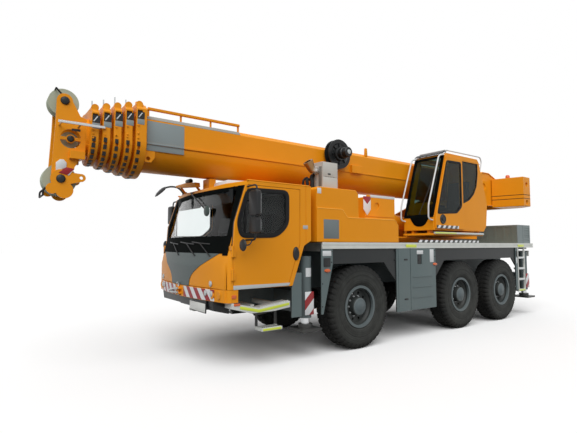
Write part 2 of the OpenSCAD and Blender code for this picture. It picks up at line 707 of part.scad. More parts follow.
plate_rear_x = slew_x - 1760;
side_plate = [[slew_x + 1000, floor_z0], [slew_x + 1000, 2120], [slew_x + 350, 2420],
    [slew_x - 1100, pivot_z - 220], [pivot_x + 250, pivot_z + 220], [pivot_x + 60, pivot_z + 380],
    [pivot_x - 260, pivot_z + 380], [winch_x - 190, winch_z + 130], [winch_x - 190, winch_z - 470],
    [plate_rear_x, winch_z - 530], [plate_rear_x, floor_z0]];
edge_flange_w = crane_cab_y0 - plate_y1 - 7;
edge_flange_t = 24;

// Side plate with a flange around its edge and a boss at the boom's pivot
module side_plate_body() {
    along_y(plate_y, plate_y1) polygon(side_plate);
    along_y(plate_y1 - 1, plate_y1 + edge_flange_w) difference() {
        polygon(side_plate);
        polygon(inset(side_plate, edge_flange_t));
    }
    bar_y(pivot_x, pivot_z, pivot_r + 90, plate_y1 - 1, plate_y1 + edge_flange_w);
    bar_y(winch_x, winch_z, winch_shaft_r + 60, plate_y1 - 1, plate_y1 + edge_flange_w);
}

module ram_lug() along_y(155, 205) difference() {
    union() {
        translate([ram_foot_x, ram_foot_z]) circle(r = 125);
        translate([ram_foot_x - 125, floor_z1 - 1]) square([250, ram_foot_z - floor_z1 + 1]);
    }
    translate([ram_foot_x, ram_foot_z]) circle(r = ram_pin_r + run);
}

module turntable() color(yellow) difference() {
    union() {
        translate([slew_x, 0, ring_z]) cylinder(h = floor_z0 - ring_z + 1, r = slew_r, $fn = 96);
        block([plate_rear_x, -plate_y1, floor_z0], [slew_x + 1000, plate_y1, floor_z1]);
        both_sides() {
            side_plate_body();
            ram_lug();
        }
        block([-2950, plate_y1 - 1, platform_z1 - 40], [-1135, crane_cab_y1, platform_z1]);
        for (y = [620, 1000]) block([-1300, y, platform_z1 - 1], [-1180, y + 60, crane_cab_z0 - seat]);
        for (y = [545, 1085]) {
            block([tilt_x - tilt_ring_r, y, platform_z1 - 1], [tilt_x + tilt_ring_r, y + 30, tilt_z]);
            bar_y(tilt_x, tilt_z, tilt_ring_r, y, y + 30);
        }
        bar_y(tilt_x, tilt_z, tilt_r, 546, 1114);
    }
    bar_y(pivot_x, pivot_z, pivot_r + run, -half_w, half_w);
    bar_y(winch_x, winch_z, winch_shaft_r + run, -half_w, half_w);
}

// Counterweight blocks on both sides of the winch
ballast_front_x = slew_x - 2700;
ballast_inner_y = plate_y1 + edge_flange_w + seat;
beacon_r = 62;
beacon_h = 120;
module beacon(x, y, z) translate([x, y, z]) rotate_extrude() polygon([[0, -1], [beacon_r, -1], [beacon_r, 25],
    [beacon_r - 8, 32], [beacon_r - 12, beacon_h - 25], [beacon_r - 30, beacon_h], [0, beacon_h]]);

module counterweight() color(yellow) {
    ballast();
    beacon(ballast_front_x - 230, 700, ballast_z1);
}

module ballast() difference() {
    translate([0, 0, ballast_z0]) linear_extrude(ballast_z1 - ballast_z0) polygon([
        [tail_x, -880], [tail_x + 260, -ballast_half_w], [ballast_front_x, -ballast_half_w],
        [ballast_front_x + 160, -ballast_inner_y], [winch_x - 200, -ballast_inner_y],
        [winch_x - 200, ballast_inner_y], [ballast_front_x + 160, ballast_inner_y],
        [ballast_front_x, ballast_half_w], [tail_x + 260, ballast_half_w], [tail_x, 880]]);
    for (z = [2880, 2975]) difference() {
        block([tail_x - 10, -1300, z], [ballast_front_x + 200, 1300, z + 14]);
        block([tail_x + 14, -ballast_half_w + 14, z - 1], [ballast_front_x + 300, ballast_half_w - 14, z + 15]);
    }
    both_sides() for (z = [2790, 3250]) bar_y(ballast_front_x - 170, z, 60, ballast_half_w - 45, ballast_half_w + 1);
}

// Hoist winch
module winch() color(dark_grey) {
    bar_y(winch_x, winch_z, winch_shaft_r, -plate_y1, plate_y1);
    bar_y(winch_x, winch_z, 130, -330, 330);
    for (y = [-330, 310]) bar_y(winch_x, winch_z, 175, y, y + 20);
}

// Luffing cylinder, drawn along X from its lower pivot
ram_gland = 3430;
ram_rod_in = 500;
module ram_place() translate([ram_foot_x, 0, ram_foot_z]) rotate([0, -ram_angle, 0]) children();

module luff_barrel() color(yellow) ram_place() {
    difference() {
        union() {
            rotate([0, 90, 0]) cylinder(h = ram_gland, r = ram_barrel_r);
            bar_y(0, 0, ram_barrel_r - 10, -150, 150);
        }
        translate([ram_rod_in - 60, 0, 0]) rotate([0, 90, 0]) cylinder(h = ram_gland, r = ram_rod_r + run);
        translate([-200, -200, -200]) cube([200 - ram_barrel_r + 10, 400, 400]);
    }
    bar_y(0, 0, ram_pin_r, -205, 205);
}

module luff_rod() color(silver) ram_place() {
    translate([ram_rod_in, 0, 0]) rotate([0, 90, 0]) cylinder(h = ram_len - ram_rod_in, r = ram_rod_r);
    bar_y(ram_len, 0, 120, -95, 95);
}

// Boom: nested tubes with a round belly and a flat top
boom_pitch = boom_wall + boom_gap;
boom_r = boom_w / 2;
boom_mid_z = boom_z0 + boom_r;
boom_bevel = 70;
collar_out = 105;
base_collar_l = 140;
pocket_angles = [-78 : 26 : 78];
pocket_l = 34;
pocket_w = 70;
pocket_d = 28;
window_h = 110;
lobe_r = 46;
module boom_profile(d) {
    r = boom_r - d;
    top = boom_z1 - d;
    translate([0, boom_mid_z]) circle(r = r, $fn = 96);
    polygon([[-r, boom_mid_z], [r, boom_mid_z], [r, top - boom_bevel], [r - boom_bevel, top],
        [-r + boom_bevel, top], [-r, top - boom_bevel]]);
}

function section_front(i) = boom_front_x + i * collar_step;
function section_rear(i) = pivot_x + 420 + 60 * i;

module section_tube(i, x0, x1) difference() {
    along_x(x0, x1) boom_profile(i * boom_pitch);
    along_x(x0 - 1, x1 + 1) boom_profile(i * boom_pitch + boom_wall);
}

// Half width and top of a section's collar
function collar_r(i) = boom_r - i * boom_pitch + collar_out;
function collar_top(i) = boom_z1 - i * boom_pitch + collar_out;

// Ears on the collar's top corners, and the collar's solid outline
module collar_body(i, length) {
    along_x(section_front(i) - length, section_front(i)) boom_profile(i * boom_pitch - collar_out);
    both_sides() along_y(collar_r(i) - boom_bevel - 20, collar_r(i) - boom_bevel + 35)
        translate([section_front(i) - lobe_r, collar_top(i)]) circle(r = lobe_r);
}

// Slide-pad pockets around the belly, and a window high on each flank
module collar_cuts(i) {
    for (a = pocket_angles) translate([section_front(i) - pocket_l - 22, 0, boom_mid_z]) rotate([a, 0, 0])
        translate([0, -pocket_w / 2, -collar_r(i) - 1]) cube([pocket_l, pocket_w, pocket_d + 1]);
    both_sides() block([section_front(i) - collar_t + 10, collar_r(i) - 20, collar_top(i) - boom_bevel - 20 - window_h],
        [section_front(i) - 10, collar_r(i) + 1, collar_top(i) - boom_bevel - 20]);
}

module section_collar(i, length) difference() {
    collar_body(i, length);
    collar_cuts(i);
    along_x(section_front(i) - length - 1, section_front(i) + 1) boom_profile((i + 1) * boom_pitch - seat);
}

boom_tail_x = pivot_x - 280;
ear_y = 110;
ear_t = 45;
seam_rib_t = 14;
rope_rail_y = 250;
rope_rail_w = 40;
rope_rail_z = boom_z1 + 95;
rope_rail_x0 = boom_front_x - 1705;
rope_rail_x1 = boom_front_x - 205;
lug_x = boom_front_x - 200;
lug_z = boom_mid_z - 215;

// Ears under the boom for the luffing cylinder's head
module ram_ears() both_sides() {
    along_y(ear_y, ear_y + ear_t) polygon([[ram_head_x - 130, ram_head_z - 90],
        [ram_head_x - 60, ram_head_z - 140], [ram_head_x + 60, ram_head_z - 140],
        [ram_head_x + 130, ram_head_z - 90], [ram_head_x + 260, boom_z0 + 100], [ram_head_x - 260, boom_z0 + 100]]);
    bar_y(ram_head_x, ram_head_z, 70, ear_y + ear_t - 1, ear_y + ear_t + 40);
}

// Lifting lugs low on the flanks behind the collar
module lifting_lugs() both_sides() along_y(boom_r - 25, boom_r) difference() {
    polygon([[lug_x - 95, lug_z + 110], [lug_x - 95, lug_z + 20], [lug_x - 45, lug_z - 55],
        [lug_x + 45, lug_z - 55], [lug_x + 95, lug_z + 20], [lug_x + 95, lug_z + 110]]);
    translate([lug_x, lug_z]) circle(r = 28);
}

// Rope rail on posts along the left top edge
module rope_rail() {
    block([rope_rail_x0, rope_rail_y, rope_rail_z], [rope_rail_x1, rope_rail_y + rope_rail_w, rope_rail_z + 40]);
    for (x = [rope_rail_x0 : 490 : rope_rail_x1])
        block([x, rope_rail_y, boom_z1 - 1], [x + 30, rope_rail_y + 15, rope_rail_z + 1]);
}

module boom_base() color(yellow) {
    difference() {
        union() {
            along_x(boom_tail_x, boom_front_x) boom_profile(0);
            collar_body(0, base_collar_l);
            both_sides() block([pivot_x + 700, boom_r - 1, boom_mid_z - 12],
                [boom_front_x - base_collar_l + 1, boom_r + seam_rib_t, boom_mid_z + 12]);
            block([pivot_x + 4460, boom_r - 1, boom_mid_z - 20], [pivot_x + 4740, boom_r + 60, boom_mid_z + 130]);
            ram_ears();
            lifting_lugs();
            rope_rail();
        }
        along_x(boom_tail_x - 1, boom_front_x - base_collar_l - 1) boom_profile(boom_wall);
        along_x(boom_tail_x - 1, boom_front_x + 1) boom_profile(boom_pitch - seat);
        collar_cuts(0);
    }
    bar_y(pivot_x, pivot_z, pivot_r, -plate_y1, plate_y1);
    bar_y(pivot_x, pivot_z, pivot_r + 40, -boom_r, boom_r);
}

module boom_section(i) color(yellow) {
    section_tube(i, section_rear(i), section_front(i) - collar_t);
    section_collar(i, collar_t);
}

head_x0 = section_front(4) + 36;
nose_sheave_r = 200;
nose_sheave_x = nose_x - nose_sheave_r;
nose_sheave_z = 2550;
nose_pin_r = 45;
top_sheave_x = 5325;
top_sheave_z = 3580;
top_pin_r = 35;
head_plate_y = 150;
head_plate_t = 40;
head_y1 = head_plate_y + head_plate_t;
guide_x = head_x0 + 180;
guide_z = 3087;
guide_r = 110;
guide_pin_r = 30;
foot_t = 25;

// Side plate of the head, from the nose sheaves up to the top sheaves
module head_plate_outline() difference() {
    union() {
        polygon([[head_x0, 2950], [nose_sheave_x - 160, 2720], [nose_sheave_x - 110, nose_sheave_z],
            [nose_sheave_x + 110, nose_sheave_z], [nose_sheave_x + 80, 3250], [top_sheave_x + 95, top_sheave_z],
            [top_sheave_x - 95, top_sheave_z], [top_sheave_x - 190, 3400], [head_x0, 3380]]);
        translate([nose_sheave_x, nose_sheave_z]) circle(r = 110);
        translate([top_sheave_x, top_sheave_z]) circle(r = 95);
    }
    translate([guide_x, guide_z]) difference() {
        circle(r = guide_r + 15);
        circle(r = guide_pin_r + 25);
        translate([-guide_r - 20, -20]) square([2 * guide_r + 40, 40]);
    }
    translate([nose_sheave_x, nose_sheave_z]) circle(r = nose_pin_r + run);
    translate([top_sheave_x, top_sheave_z]) circle(r = top_pin_r + run);
    translate([guide_x, guide_z]) circle(r = guide_pin_r + run);
}

// Lobed foot outside the nose sheaves, with an eye to the rear for the pendant pins
module nose_foot_outline() difference() {
    union() {
        translate([nose_sheave_x, nose_sheave_z]) circle(r = 120);
        translate([nose_sheave_x - 45, nose_sheave_z - 145]) circle(r = 105);
        translate([nose_sheave_x + 95, nose_sheave_z - 130]) circle(r = 70);
        translate([nose_sheave_x - 240, nose_sheave_z + 30]) circle(r = 52);
        polygon([[nose_sheave_x - 250, nose_sheave_z - 20], [nose_sheave_x, nose_sheave_z - 90],
            [nose_sheave_x, nose_sheave_z + 100], [nose_sheave_x - 245, nose_sheave_z + 80]]);
    }
    translate([nose_sheave_x - 240, nose_sheave_z + 30]) circle(r = 22);
    translate([nose_sheave_x, nose_sheave_z]) circle(r = nose_pin_r + run);
}

module boom_head() {
    both_sides() {
        along_y(head_plate_y, head_y1) head_plate_outline();
        along_y(head_y1 - 1, head_y1 + foot_t) nose_foot_outline();
        block([head_x0 + 10, head_y1 - 1, 2820], [head_x0 + 190, head_y1 + 60, 2926]);
    }
    block([head_x0 - 1, -head_y1, 2960], [head_x0 + 60, head_y1, 3370]);
    block([head_x0, -head_plate_y - 1, 2860], [head_x0 + 250, head_plate_y + 1, 2900]);
}

module boom_section_5() color(yellow) {
    section_tube(5, section_rear(5), head_x0);
    boom_head();
}

module sheave(x, z, y, r) translate([x, y, z]) rotate([-90, 0, 0]) rotate_extrude($fn = 64) polygon([
    [0, -28], [r, -28], [r, -18], [r - 30, -6], [r - 30, 6], [r, 18], [r, 28], [0, 28]]);

module head_sheaves() color("white") {
    for (y = [-90, -30, 30, 90]) sheave(nose_sheave_x, nose_sheave_z, y, nose_sheave_r);
    bar_y(nose_sheave_x, nose_sheave_z, nose_pin_r, -head_y1 - foot_t, head_y1 + foot_t);
    for (y = [-60, 60]) sheave(top_sheave_x, top_sheave_z, y, sheave_r);
    bar_y(top_sheave_x, top_sheave_z, top_pin_r, -head_y1, head_y1);
    for (y = [-60, 60]) sheave(guide_x, guide_z, y, guide_r);
    bar_y(guide_x, guide_z, guide_pin_r, -head_y1, head_y1);
}

// Cable drum on the left side of the boom
drum_x = 775;
drum_z = 3400;
drum_r = 275;
drum_w = 120;
module cable_drum() color(black) {
    bar_y(drum_x, drum_z, 70, boom_r, boom_r + 60);
    translate([drum_x, boom_r + 50, drum_z]) rotate([-90, 0, 0]) rotate_extrude($fn = 64) polygon([
        [0, 0], [drum_r, 0], [drum_r, 10], [drum_r - 55, 22], [drum_r - 55, drum_w - 22], [drum_r, drum_w - 10],
        [drum_r, drum_w], [drum_r - 70, drum_w], [drum_r - 90, drum_w - 14], [130, drum_w - 14], [120, drum_w + 25],
        [95, drum_w + 35], [85, drum_w + 80], [0, drum_w + 80]]);
}

// Crane cab
crane_side = [[-3000, crane_cab_z0], [-1135, crane_cab_z0], [-1135, 2260], [-1560, 3570], [-1630, crane_cab_z1],
    [-2800, crane_cab_z1], [-2860, 3560], [-3175, 2610], [-3110, 2120]];
crane_door_side = [[-2150, 2030], [-1165, 2030], [-1165, 2270], [-1575, 3540], [-2150, 3540]];
crane_door_window = [[-2080, 2520], [-1900, 2380], [-1230, 2340], [-1575, 3440], [-2080, 3450]];
rear_window_x0 = -2800;
rear_window_x1 = -2200;
rear_window_z1 = 3520;
rear_window_r = 708;
// Side window behind the door, swept round at its lower rear corner
module rear_window_outline(d) intersection() {
    translate([rear_window_x0 + d, 2500]) square([rear_window_x1 - rear_window_x0 - 2 * d, rear_window_z1 - 2500 - d]);
    union() {
        translate([rear_window_x1 + 110, 3300]) circle(r = rear_window_r - d, $fn = 96);
        translate([rear_window_x0 + d, 3300]) square([rear_window_x1 - rear_window_x0 - 2 * d, 400]);
    }
}
boom_side_window = [[-2700, 2750], [-1450, 2600], [-1730, 3500], [-2700, 3500]];
front_window = [[crane_cab_y0 + 60, 2300], [crane_cab_y1 - 60, 2300], [crane_cab_y1 - 60, 3530], [crane_cab_y0 + 60, 3530]];
roof_window = [[-2500, crane_cab_y0 + 100], [-1800, crane_cab_y1 - 100]];
door_gap_y = 5;

module crane_form(d) along_y(crane_cab_y0 + d, crane_cab_y1 - d) polygon(inset(crane_side, d));

module crane_cab() color(yellow) {
    difference() {
        crane_form(0);
        crane_form(crane_cab_wall);
        along_x(-1900, -1000) polygon(front_window);
        along_y(crane_cab_y1 - crane_cab_wall - 1, crane_cab_y1 + 1) polygon(inset(crane_door_side, 40));
        along_y(crane_cab_y1 - crane_cab_wall - 1, crane_cab_y1 + 1) rear_window_outline(0);
        along_y(crane_cab_y0 - 1, crane_cab_y0 + crane_cab_wall + 1) polygon(boom_side_window);
        block([roof_window[0][0], roof_window[0][1], crane_cab_z1 - crane_cab_wall - 1],
            [roof_window[1][0], roof_window[1][1], crane_cab_z1 + 1]);
    }
    for (z = [2045, 3525]) block([-2900, crane_cab_y1 - 1, z - 15], [z > 3000 ? -1600 : -1180, crane_cab_y1 + door_gap_y - seat, z]);
    for (y = [600, 1010]) difference() {
        union() {
            block([tilt_x - tilt_ring_r, y, tilt_z], [tilt_x + tilt_ring_r, y + 50, crane_cab_z0 + 1]);
            bar_y(tilt_x, tilt_z, tilt_ring_r, y, y + 50);
        }
        bar_y(tilt_x, tilt_z, tilt_r + run, y - 1, y + 51);
    }
}

module crane_cab_glazing() color(glass) {
    intersection() {
        difference() {
            crane_form(10);
            crane_form(10 + glass_t);
        }
        union() {
            along_x(-1900, -1000) polygon(inset(front_window, seat));
            along_y(crane_cab_y1 - crane_cab_wall, crane_cab_y1) rear_window_outline(seat);
            along_y(crane_cab_y0, crane_cab_y0 + crane_cab_wall) polygon(inset(boom_side_window, seat));
            block([roof_window[0][0] + seat, roof_window[0][1] + seat, crane_cab_z1 - crane_cab_wall],
                [roof_window[1][0] - seat, roof_window[1][1] - seat, crane_cab_z1]);
        }
    }
}

module crane_cab_interior() color(black) {
    in_z = crane_cab_z0 + crane_cab_wall + seat;
    translate([0, 0, in_z + 350]) seat_shape(-2600, 830);
    block([-2500, 650, in_z], [-2200, 1010, in_z + 60]);
    for (y = [crane_cab_y0 + crane_cab_wall + 45, crane_cab_y1 - crane_cab_wall - 45])
        block([-2450, y - 30, in_z], [-1950, y + 30, in_z + 560]);
}

module crane_door() color(yellow) difference() {
    along_y(crane_cab_y1 + door_gap_y, crane_cab_y1 + door_gap_y + crane_door_t) polygon(crane_door_side);
    along_y(crane_cab_y1, crane_cab_y1 + door_gap_y + crane_door_t + 1) polygon(crane_door_window);
}

chassis_frame();
axles();
deck();
side_skirts();
engine_block();
engine_housing();
exhaust();
deck_boxes();
driver_cab();
cab_glazing();
cab_interior();
front_bumper();
door(1);  // door_left
door_mirror(1);  // mirror_left
door(-1);  // door_right
door_mirror(-1);  // mirror_right
outrigger_beam(front_outrigger_x, 1);  // beam_front_left
jack(front_outrigger_x, 1);  // jack_front_left
outrigger_beam(front_outrigger_x, -1);  // beam_front_right
jack(front_outrigger_x, -1);  // jack_front_right
outrigger_beam(rear_outrigger_x, 1);  // beam_rear_left
jack(rear_outrigger_x, 1);  // jack_rear_left
outrigger_beam(rear_outrigger_x, -1);  // beam_rear_right
jack(rear_outrigger_x, -1);  // jack_rear_right
turntable();
counterweight();
winch();
luff_barrel();
luff_rod();
crane_cab();
crane_cab_glazing();
crane_cab_interior();
crane_door();
boom_base();
cable_drum();
boom_section(1);  // boom_section_1
boom_section(2);  // boom_section_2
boom_section(3);  // boom_section_3
boom_section(4);  // boom_section_4
boom_section_5();
head_sheaves();
tyre(axle_x[0], 1);  // tyre_front_left
rim(axle_x[0], 1);  // rim_front_left
knuckle(axle_x[0], 1);  // knuckle_front_left
tyre(axle_x[0], -1);  // tyre_front_right
rim(axle_x[0], -1);  // rim_front_right
knuckle(axle_x[0], -1);  // knuckle_front_right
tyre(axle_x[1], 1);  // tyre_middle_left
rim(axle_x[1], 1);  // rim_middle_left
knuckle(axle_x[1], 1);  // knuckle_middle_left
tyre(axle_x[1], -1);  // tyre_middle_right
rim(axle_x[1], -1);  // rim_middle_right
knuckle(axle_x[1], -1);  // knuckle_middle_right
tyre(axle_x[2], 1);  // tyre_rear_left
rim(axle_x[2], 1);  // rim_rear_left
knuckle(axle_x[2], 1);  // knuckle_rear_left
tyre(axle_x[2], -1);  // tyre_rear_right
rim(axle_x[2], -1);  // rim_rear_right
knuckle(axle_x[2], -1);  // knuckle_rear_right
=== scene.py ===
# Three-axle mobile crane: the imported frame, dressed piece by piece in the order it is put together.
import json
import math
from contextlib import contextmanager

import bpy
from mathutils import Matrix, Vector

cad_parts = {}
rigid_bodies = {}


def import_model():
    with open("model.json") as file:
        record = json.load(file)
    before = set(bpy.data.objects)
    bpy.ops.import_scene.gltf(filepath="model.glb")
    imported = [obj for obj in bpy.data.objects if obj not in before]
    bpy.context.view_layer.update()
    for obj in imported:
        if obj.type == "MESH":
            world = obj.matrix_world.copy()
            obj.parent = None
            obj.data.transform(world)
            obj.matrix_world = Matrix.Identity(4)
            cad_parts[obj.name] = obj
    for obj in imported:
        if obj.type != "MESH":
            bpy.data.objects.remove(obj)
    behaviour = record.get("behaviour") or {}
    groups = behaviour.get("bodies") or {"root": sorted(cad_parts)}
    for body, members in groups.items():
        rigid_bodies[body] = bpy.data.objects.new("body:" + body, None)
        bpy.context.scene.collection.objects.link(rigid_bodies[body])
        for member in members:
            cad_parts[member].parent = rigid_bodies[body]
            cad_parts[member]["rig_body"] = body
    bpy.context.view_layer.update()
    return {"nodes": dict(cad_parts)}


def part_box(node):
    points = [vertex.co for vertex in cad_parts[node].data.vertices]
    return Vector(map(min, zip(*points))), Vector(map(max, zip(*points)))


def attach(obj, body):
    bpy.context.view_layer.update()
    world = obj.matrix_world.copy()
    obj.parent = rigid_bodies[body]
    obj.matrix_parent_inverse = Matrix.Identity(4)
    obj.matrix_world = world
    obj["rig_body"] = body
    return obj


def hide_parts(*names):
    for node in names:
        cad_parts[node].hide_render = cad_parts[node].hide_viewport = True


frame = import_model()


# Tyres: single crane tyres of black rubber on every wheel, with blocks cut across the tread.
# The casing is moulded in one, so its profile is swept once round the axle with the grooves in it,
# and the finished tyre is copied to the six wheels.
def pick(piece):
    """Makes one piece the only selected and active one."""
    bpy.ops.object.select_all(action="DESELECT")
    piece.select_set(True)
    bpy.context.view_layer.objects.active = piece


@contextmanager
def editing(piece):
    """Edit mode on one piece, with all of it selected."""
    pick(piece)
    bpy.ops.object.mode_set(mode="EDIT")
    bpy.ops.mesh.select_all(action="SELECT")
    yield
    bpy.ops.object.mode_set(mode="OBJECT")


def laid_sheet(name, across, along, place, closed=False):
    """A grid whose points are laid by place(u, v), each 0 to 1; closed joins the edges that meet."""
    bpy.ops.object.select_all(action="DESELECT")
    bpy.ops.mesh.primitive_grid_add(x_subdivisions=across, y_subdivisions=along, size=1)
    piece = bpy.context.object
    piece.name = name
    for point in piece.data.vertices:
        point.co = place(point.co.x + 0.5, point.co.y + 0.5)
    if closed:
        with editing(piece):
            bpy.ops.mesh.remove_doubles(threshold=0.00002)
            bpy.ops.mesh.normals_make_consistent(inside=False)
    return piece


def use_modifier(piece, kind, **values):
    """Adds a modifier with these values and applies it."""
    pick(piece)
    modifier = piece.modifiers.new(kind.title(), kind)
    for key, value in values.items():
        setattr(modifier, key, value)
    bpy.ops.object.modifier_apply(modifier=modifier.name)


def worked(piece, thick=0.0, ease=0.0, smooth=35):
    """Gives a sheet its thickness, eases its corners and smooths its shading."""
    if thick:
        use_modifier(piece, "SOLIDIFY", thickness=thick, offset=0.0)
        with editing(piece):
            bpy.ops.mesh.normals_make_consistent(inside=False)
    if ease:
        use_modifier(piece, "BEVEL", width=ease, segments=2, limit_method="ANGLE",
                     angle_limit=math.radians(30))
    pick(piece)
    bpy.ops.object.shade_smooth_by_angle(angle=math.radians(smooth))
    return piece


def hold(piece, body, slot_name, finish_used, *nodes):
    """Gives a finished piece its material and its body, and hides the nodes that it stands for. slot_name is
    not used.
    """
    piece.data.materials.clear()
    piece.data.materials.append(finish_used)
    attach(piece, body)
    if nodes:
        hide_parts(*nodes)
    return piece


def own_copy(piece, name, shift=(0, 0, 0), mirror_y=False):
    """A copy with its own mesh, moved or turned over to the other side."""
    mesh = piece.data.copy()
    for point in mesh.vertices:
        if mirror_y:
            point.co.y = -point.co.y
        point.co += Vector(shift)
    if mirror_y:
        mesh.flip_normals()
    twin = bpy.data.objects.new(name, mesh)
    bpy.context.collection.objects.link(twin)
    return twin


def joined(name, pieces):
    """Several pieces welded into one object."""
    bpy.ops.object.select_all(action="DESELECT")
    for piece in pieces:
        piece.select_set(True)
    bpy.context.view_layer.objects.active = pieces[0]
    bpy.ops.object.join()
    pieces[0].name = name
    return pieces[0]


class Field:
    """A number that changes over a surface; arithmetic on it adds math nodes to its shader tree."""

    def __init__(self, tree, socket):
        self.tree = tree
        self.socket = socket

    def math(self, operation, *sides):
        """A math node on these fields and numbers."""
        node = self.tree.nodes.new("ShaderNodeMath")
        node.operation = operation
        for entry, side in zip(node.inputs, sides):
            if isinstance(side, Field):
                self.tree.links.new(side.socket, entry)
            else:
                entry.default_value = side
        return Field(self.tree, node.outputs[0])

    def clamped(self):
        """The same field, kept between 0 and 1."""
        self.socket.node.use_clamp = True
        return self

    def sine(self):
        return self.math("SINE", self)

    def __abs__(self):
        return self.math("ABSOLUTE", self)

    def __add__(self, other):
        return self.math("ADD", self, other)

    def __sub__(self, other):
        return self.math("SUBTRACT", self, other)

    def __rsub__(self, other):
        return self.math("SUBTRACT", other, self)

    def __mul__(self, other):
        return self.math("MULTIPLY", self, other)

    def __truediv__(self, other):
        return self.math("DIVIDE", self, other)

    def __gt__(self, other):
        return self.math("GREATER_THAN", self, other)

    def __lt__(self, other):
        return self.math("LESS_THAN", self, other)


def dial(node, values):
    """Sets a node's inputs by name."""
    for name, value in values.items():
        node.inputs[name].default_value = value


def blend_colour(tree, share, first, second):
    """A colour mix; share is a field, and each side is a colour or a socket."""
    node = tree.nodes.new("ShaderNodeMix")
    node.data_type = "RGBA"
    inputs = [s for s in node.inputs if s.enabled]
    tree.links.new(share.socket, inputs[0])
    for entry, side in zip(inputs[1:], (first, second)):
        if isinstance(side, tuple):
            entry.default_value = (*side, 1.0)
        else:
            tree.links.new(side, entry)
    return next(s for s in node.outputs if s.enabled)


def place_of(tree):
    """The x, y and z of the surface in the object's own frame, and the whole vector."""
    where = tree.nodes.new("ShaderNodeTexCoord").outputs["Object"]
    parts = tree.nodes.new("ShaderNodeSeparateXYZ")
    tree.links.new(where, parts.inputs[0])
    return *(Field(tree, way) for way in parts.outputs), where


def cloud(tree, where, scale, detail):
    """Noise over the surface."""
    node = tree.nodes.new("ShaderNodeTexNoise")
    tree.links.new(where, node.inputs["Vector"])
    dial(node, {"Scale": scale, "Detail": detail})
    return Field(tree, node.outputs["Fac"])


def road_film_group():
    """Colour that varies a little, with a film of road dust that thickens towards the ground."""
    group = bpy.data.node_groups.new("road_film", "ShaderNodeTree")
    for kind, name, value in (("Color", "Colour", (0.5, 0.5, 0.5, 1)),
                              ("Color", "Film Colour", (0.2, 0.18, 0.15, 1)),
                              ("Float", "Film", 0.3),
                              ("Float", "Film Top", 2.0),
                              ("Float", "Roughness", 0.4)):
        made = group.interface.new_socket(name=name, in_out="INPUT", socket_type="NodeSocket" + kind)
        made.default_value = value
    for kind, name in (("Color", "Colour"), ("Float", "Roughness"), ("Float", "Height")):
        group.interface.new_socket(name=name, in_out="OUTPUT", socket_type="NodeSocket" + kind)
    entry = group.nodes.new("NodeGroupInput").outputs
    leave = group.nodes.new("NodeGroupOutput").inputs
    x, y, z, where = place_of(group)
    broad = cloud(group, where, 1.6, 6.0)
    fine = cloud(group, where, 45.0, 3.0)
    low = (1.0 - z / Field(group, entry["Film Top"])).clamped()
    patch = (broad * 2.2 - 0.6).clamped()
    film = ((low * 0.85 + 0.15) * patch * Field(group, entry["Film"])).clamped()
    film = (film * (fine * 0.8 + 0.6)).clamped()
    tone = group.nodes.new("ShaderNodeHueSaturation")
    group.links.new(entry["Colour"], tone.inputs["Color"])
    group.links.new((broad * 0.16 + 0.92).socket, tone.inputs["Value"])
    rough = (Field(group, entry["Roughness"]) + film * 0.35 + (fine - 0.5) * 0.12).clamped()
    group.links.new(blend_colour(group, film, tone.outputs["Color"], entry["Film Colour"]), leave["Colour"])
    group.links.new(rough.socket, leave["Roughness"])
    group.links.new(fine.socket, leave["Height"])
    return group


road_film = road_film_group()


def finish(name, colour, rough, metallic=0.0, coat=0.0, gloss=0.25, film=0.25, film_top=1.9, bump=0.04,
           colour_from=None):
    """A finish with the road film over it. colour_from(tree) may give the colour before the film."""
    made = bpy.data.materials.new(name)
    made.use_nodes = True
    tree = made.node_tree
    shader = tree.nodes["Principled BSDF"]
    dial(shader, {"Metallic": metallic, "Coat Weight": coat, "Coat Roughness": 0.12,
                  "Specular IOR Level": gloss})
    over = tree.nodes.new("ShaderNodeGroup")
    over.node_tree = road_film
    dial(over, {"Colour": (*colour, 1.0), "Film": film, "Film Top": film_top, "Roughness": rough})
    if colour_from:
        tree.links.new(colour_from(tree), over.inputs["Colour"])
    dent = tree.nodes.new("ShaderNodeBump")
    dial(dent, {"Strength": bump, "Distance": 0.01})
    tree.links.new(over.outputs["Colour"], shader.inputs["Base Color"])
    tree.links.new(over.outputs["Roughness"], shader.inputs["Roughness"])
    tree.links.new(over.outputs["Height"], dent.inputs["Height"])
    tree.links.new(dent.outputs["Normal"], shader.inputs["Normal"])
    return made


wheel_names = [f"{row}_{side}" for row in ("front", "middle", "rear") for side in ("left", "right")]
wheel_centre = {wheel: sum(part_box("tyre_" + wheel), Vector()) / 2 for wheel in wheel_names}
TYRE_R = 0.685
PITCHES = 44
STEPS_A_PITCH = 8
GROOVE = 0.017
side_line = [(0.158, 0.3175), (0.158, 0.350), (0.171, 0.371), (0.184, 0.388), (0.188, 0.407), (0.185, 0.412),
             (0.190, 0.418), (0.192, 0.450), (0.1925, 0.488), (0.189, 0.493), (0.189, 0.503), (0.192, 0.509),
             (0.1915, 0.560), (0.188, 0.582), (0.190, 0.588), (0.188, 0.606), (0.183, 0.630), (0.177, 0.648),
             (0.169, 0.662), (0.159, 0.674), (0.1475, 0.682)]
tread_line = [(y / 1000, TYRE_R) for y in (128, 108, 92, 88, 76, 72, 55, 38, 24, 10)]
half_line = side_line + tread_line
tyre_line = half_line + [(-y, r) for y, r in reversed(half_line)]


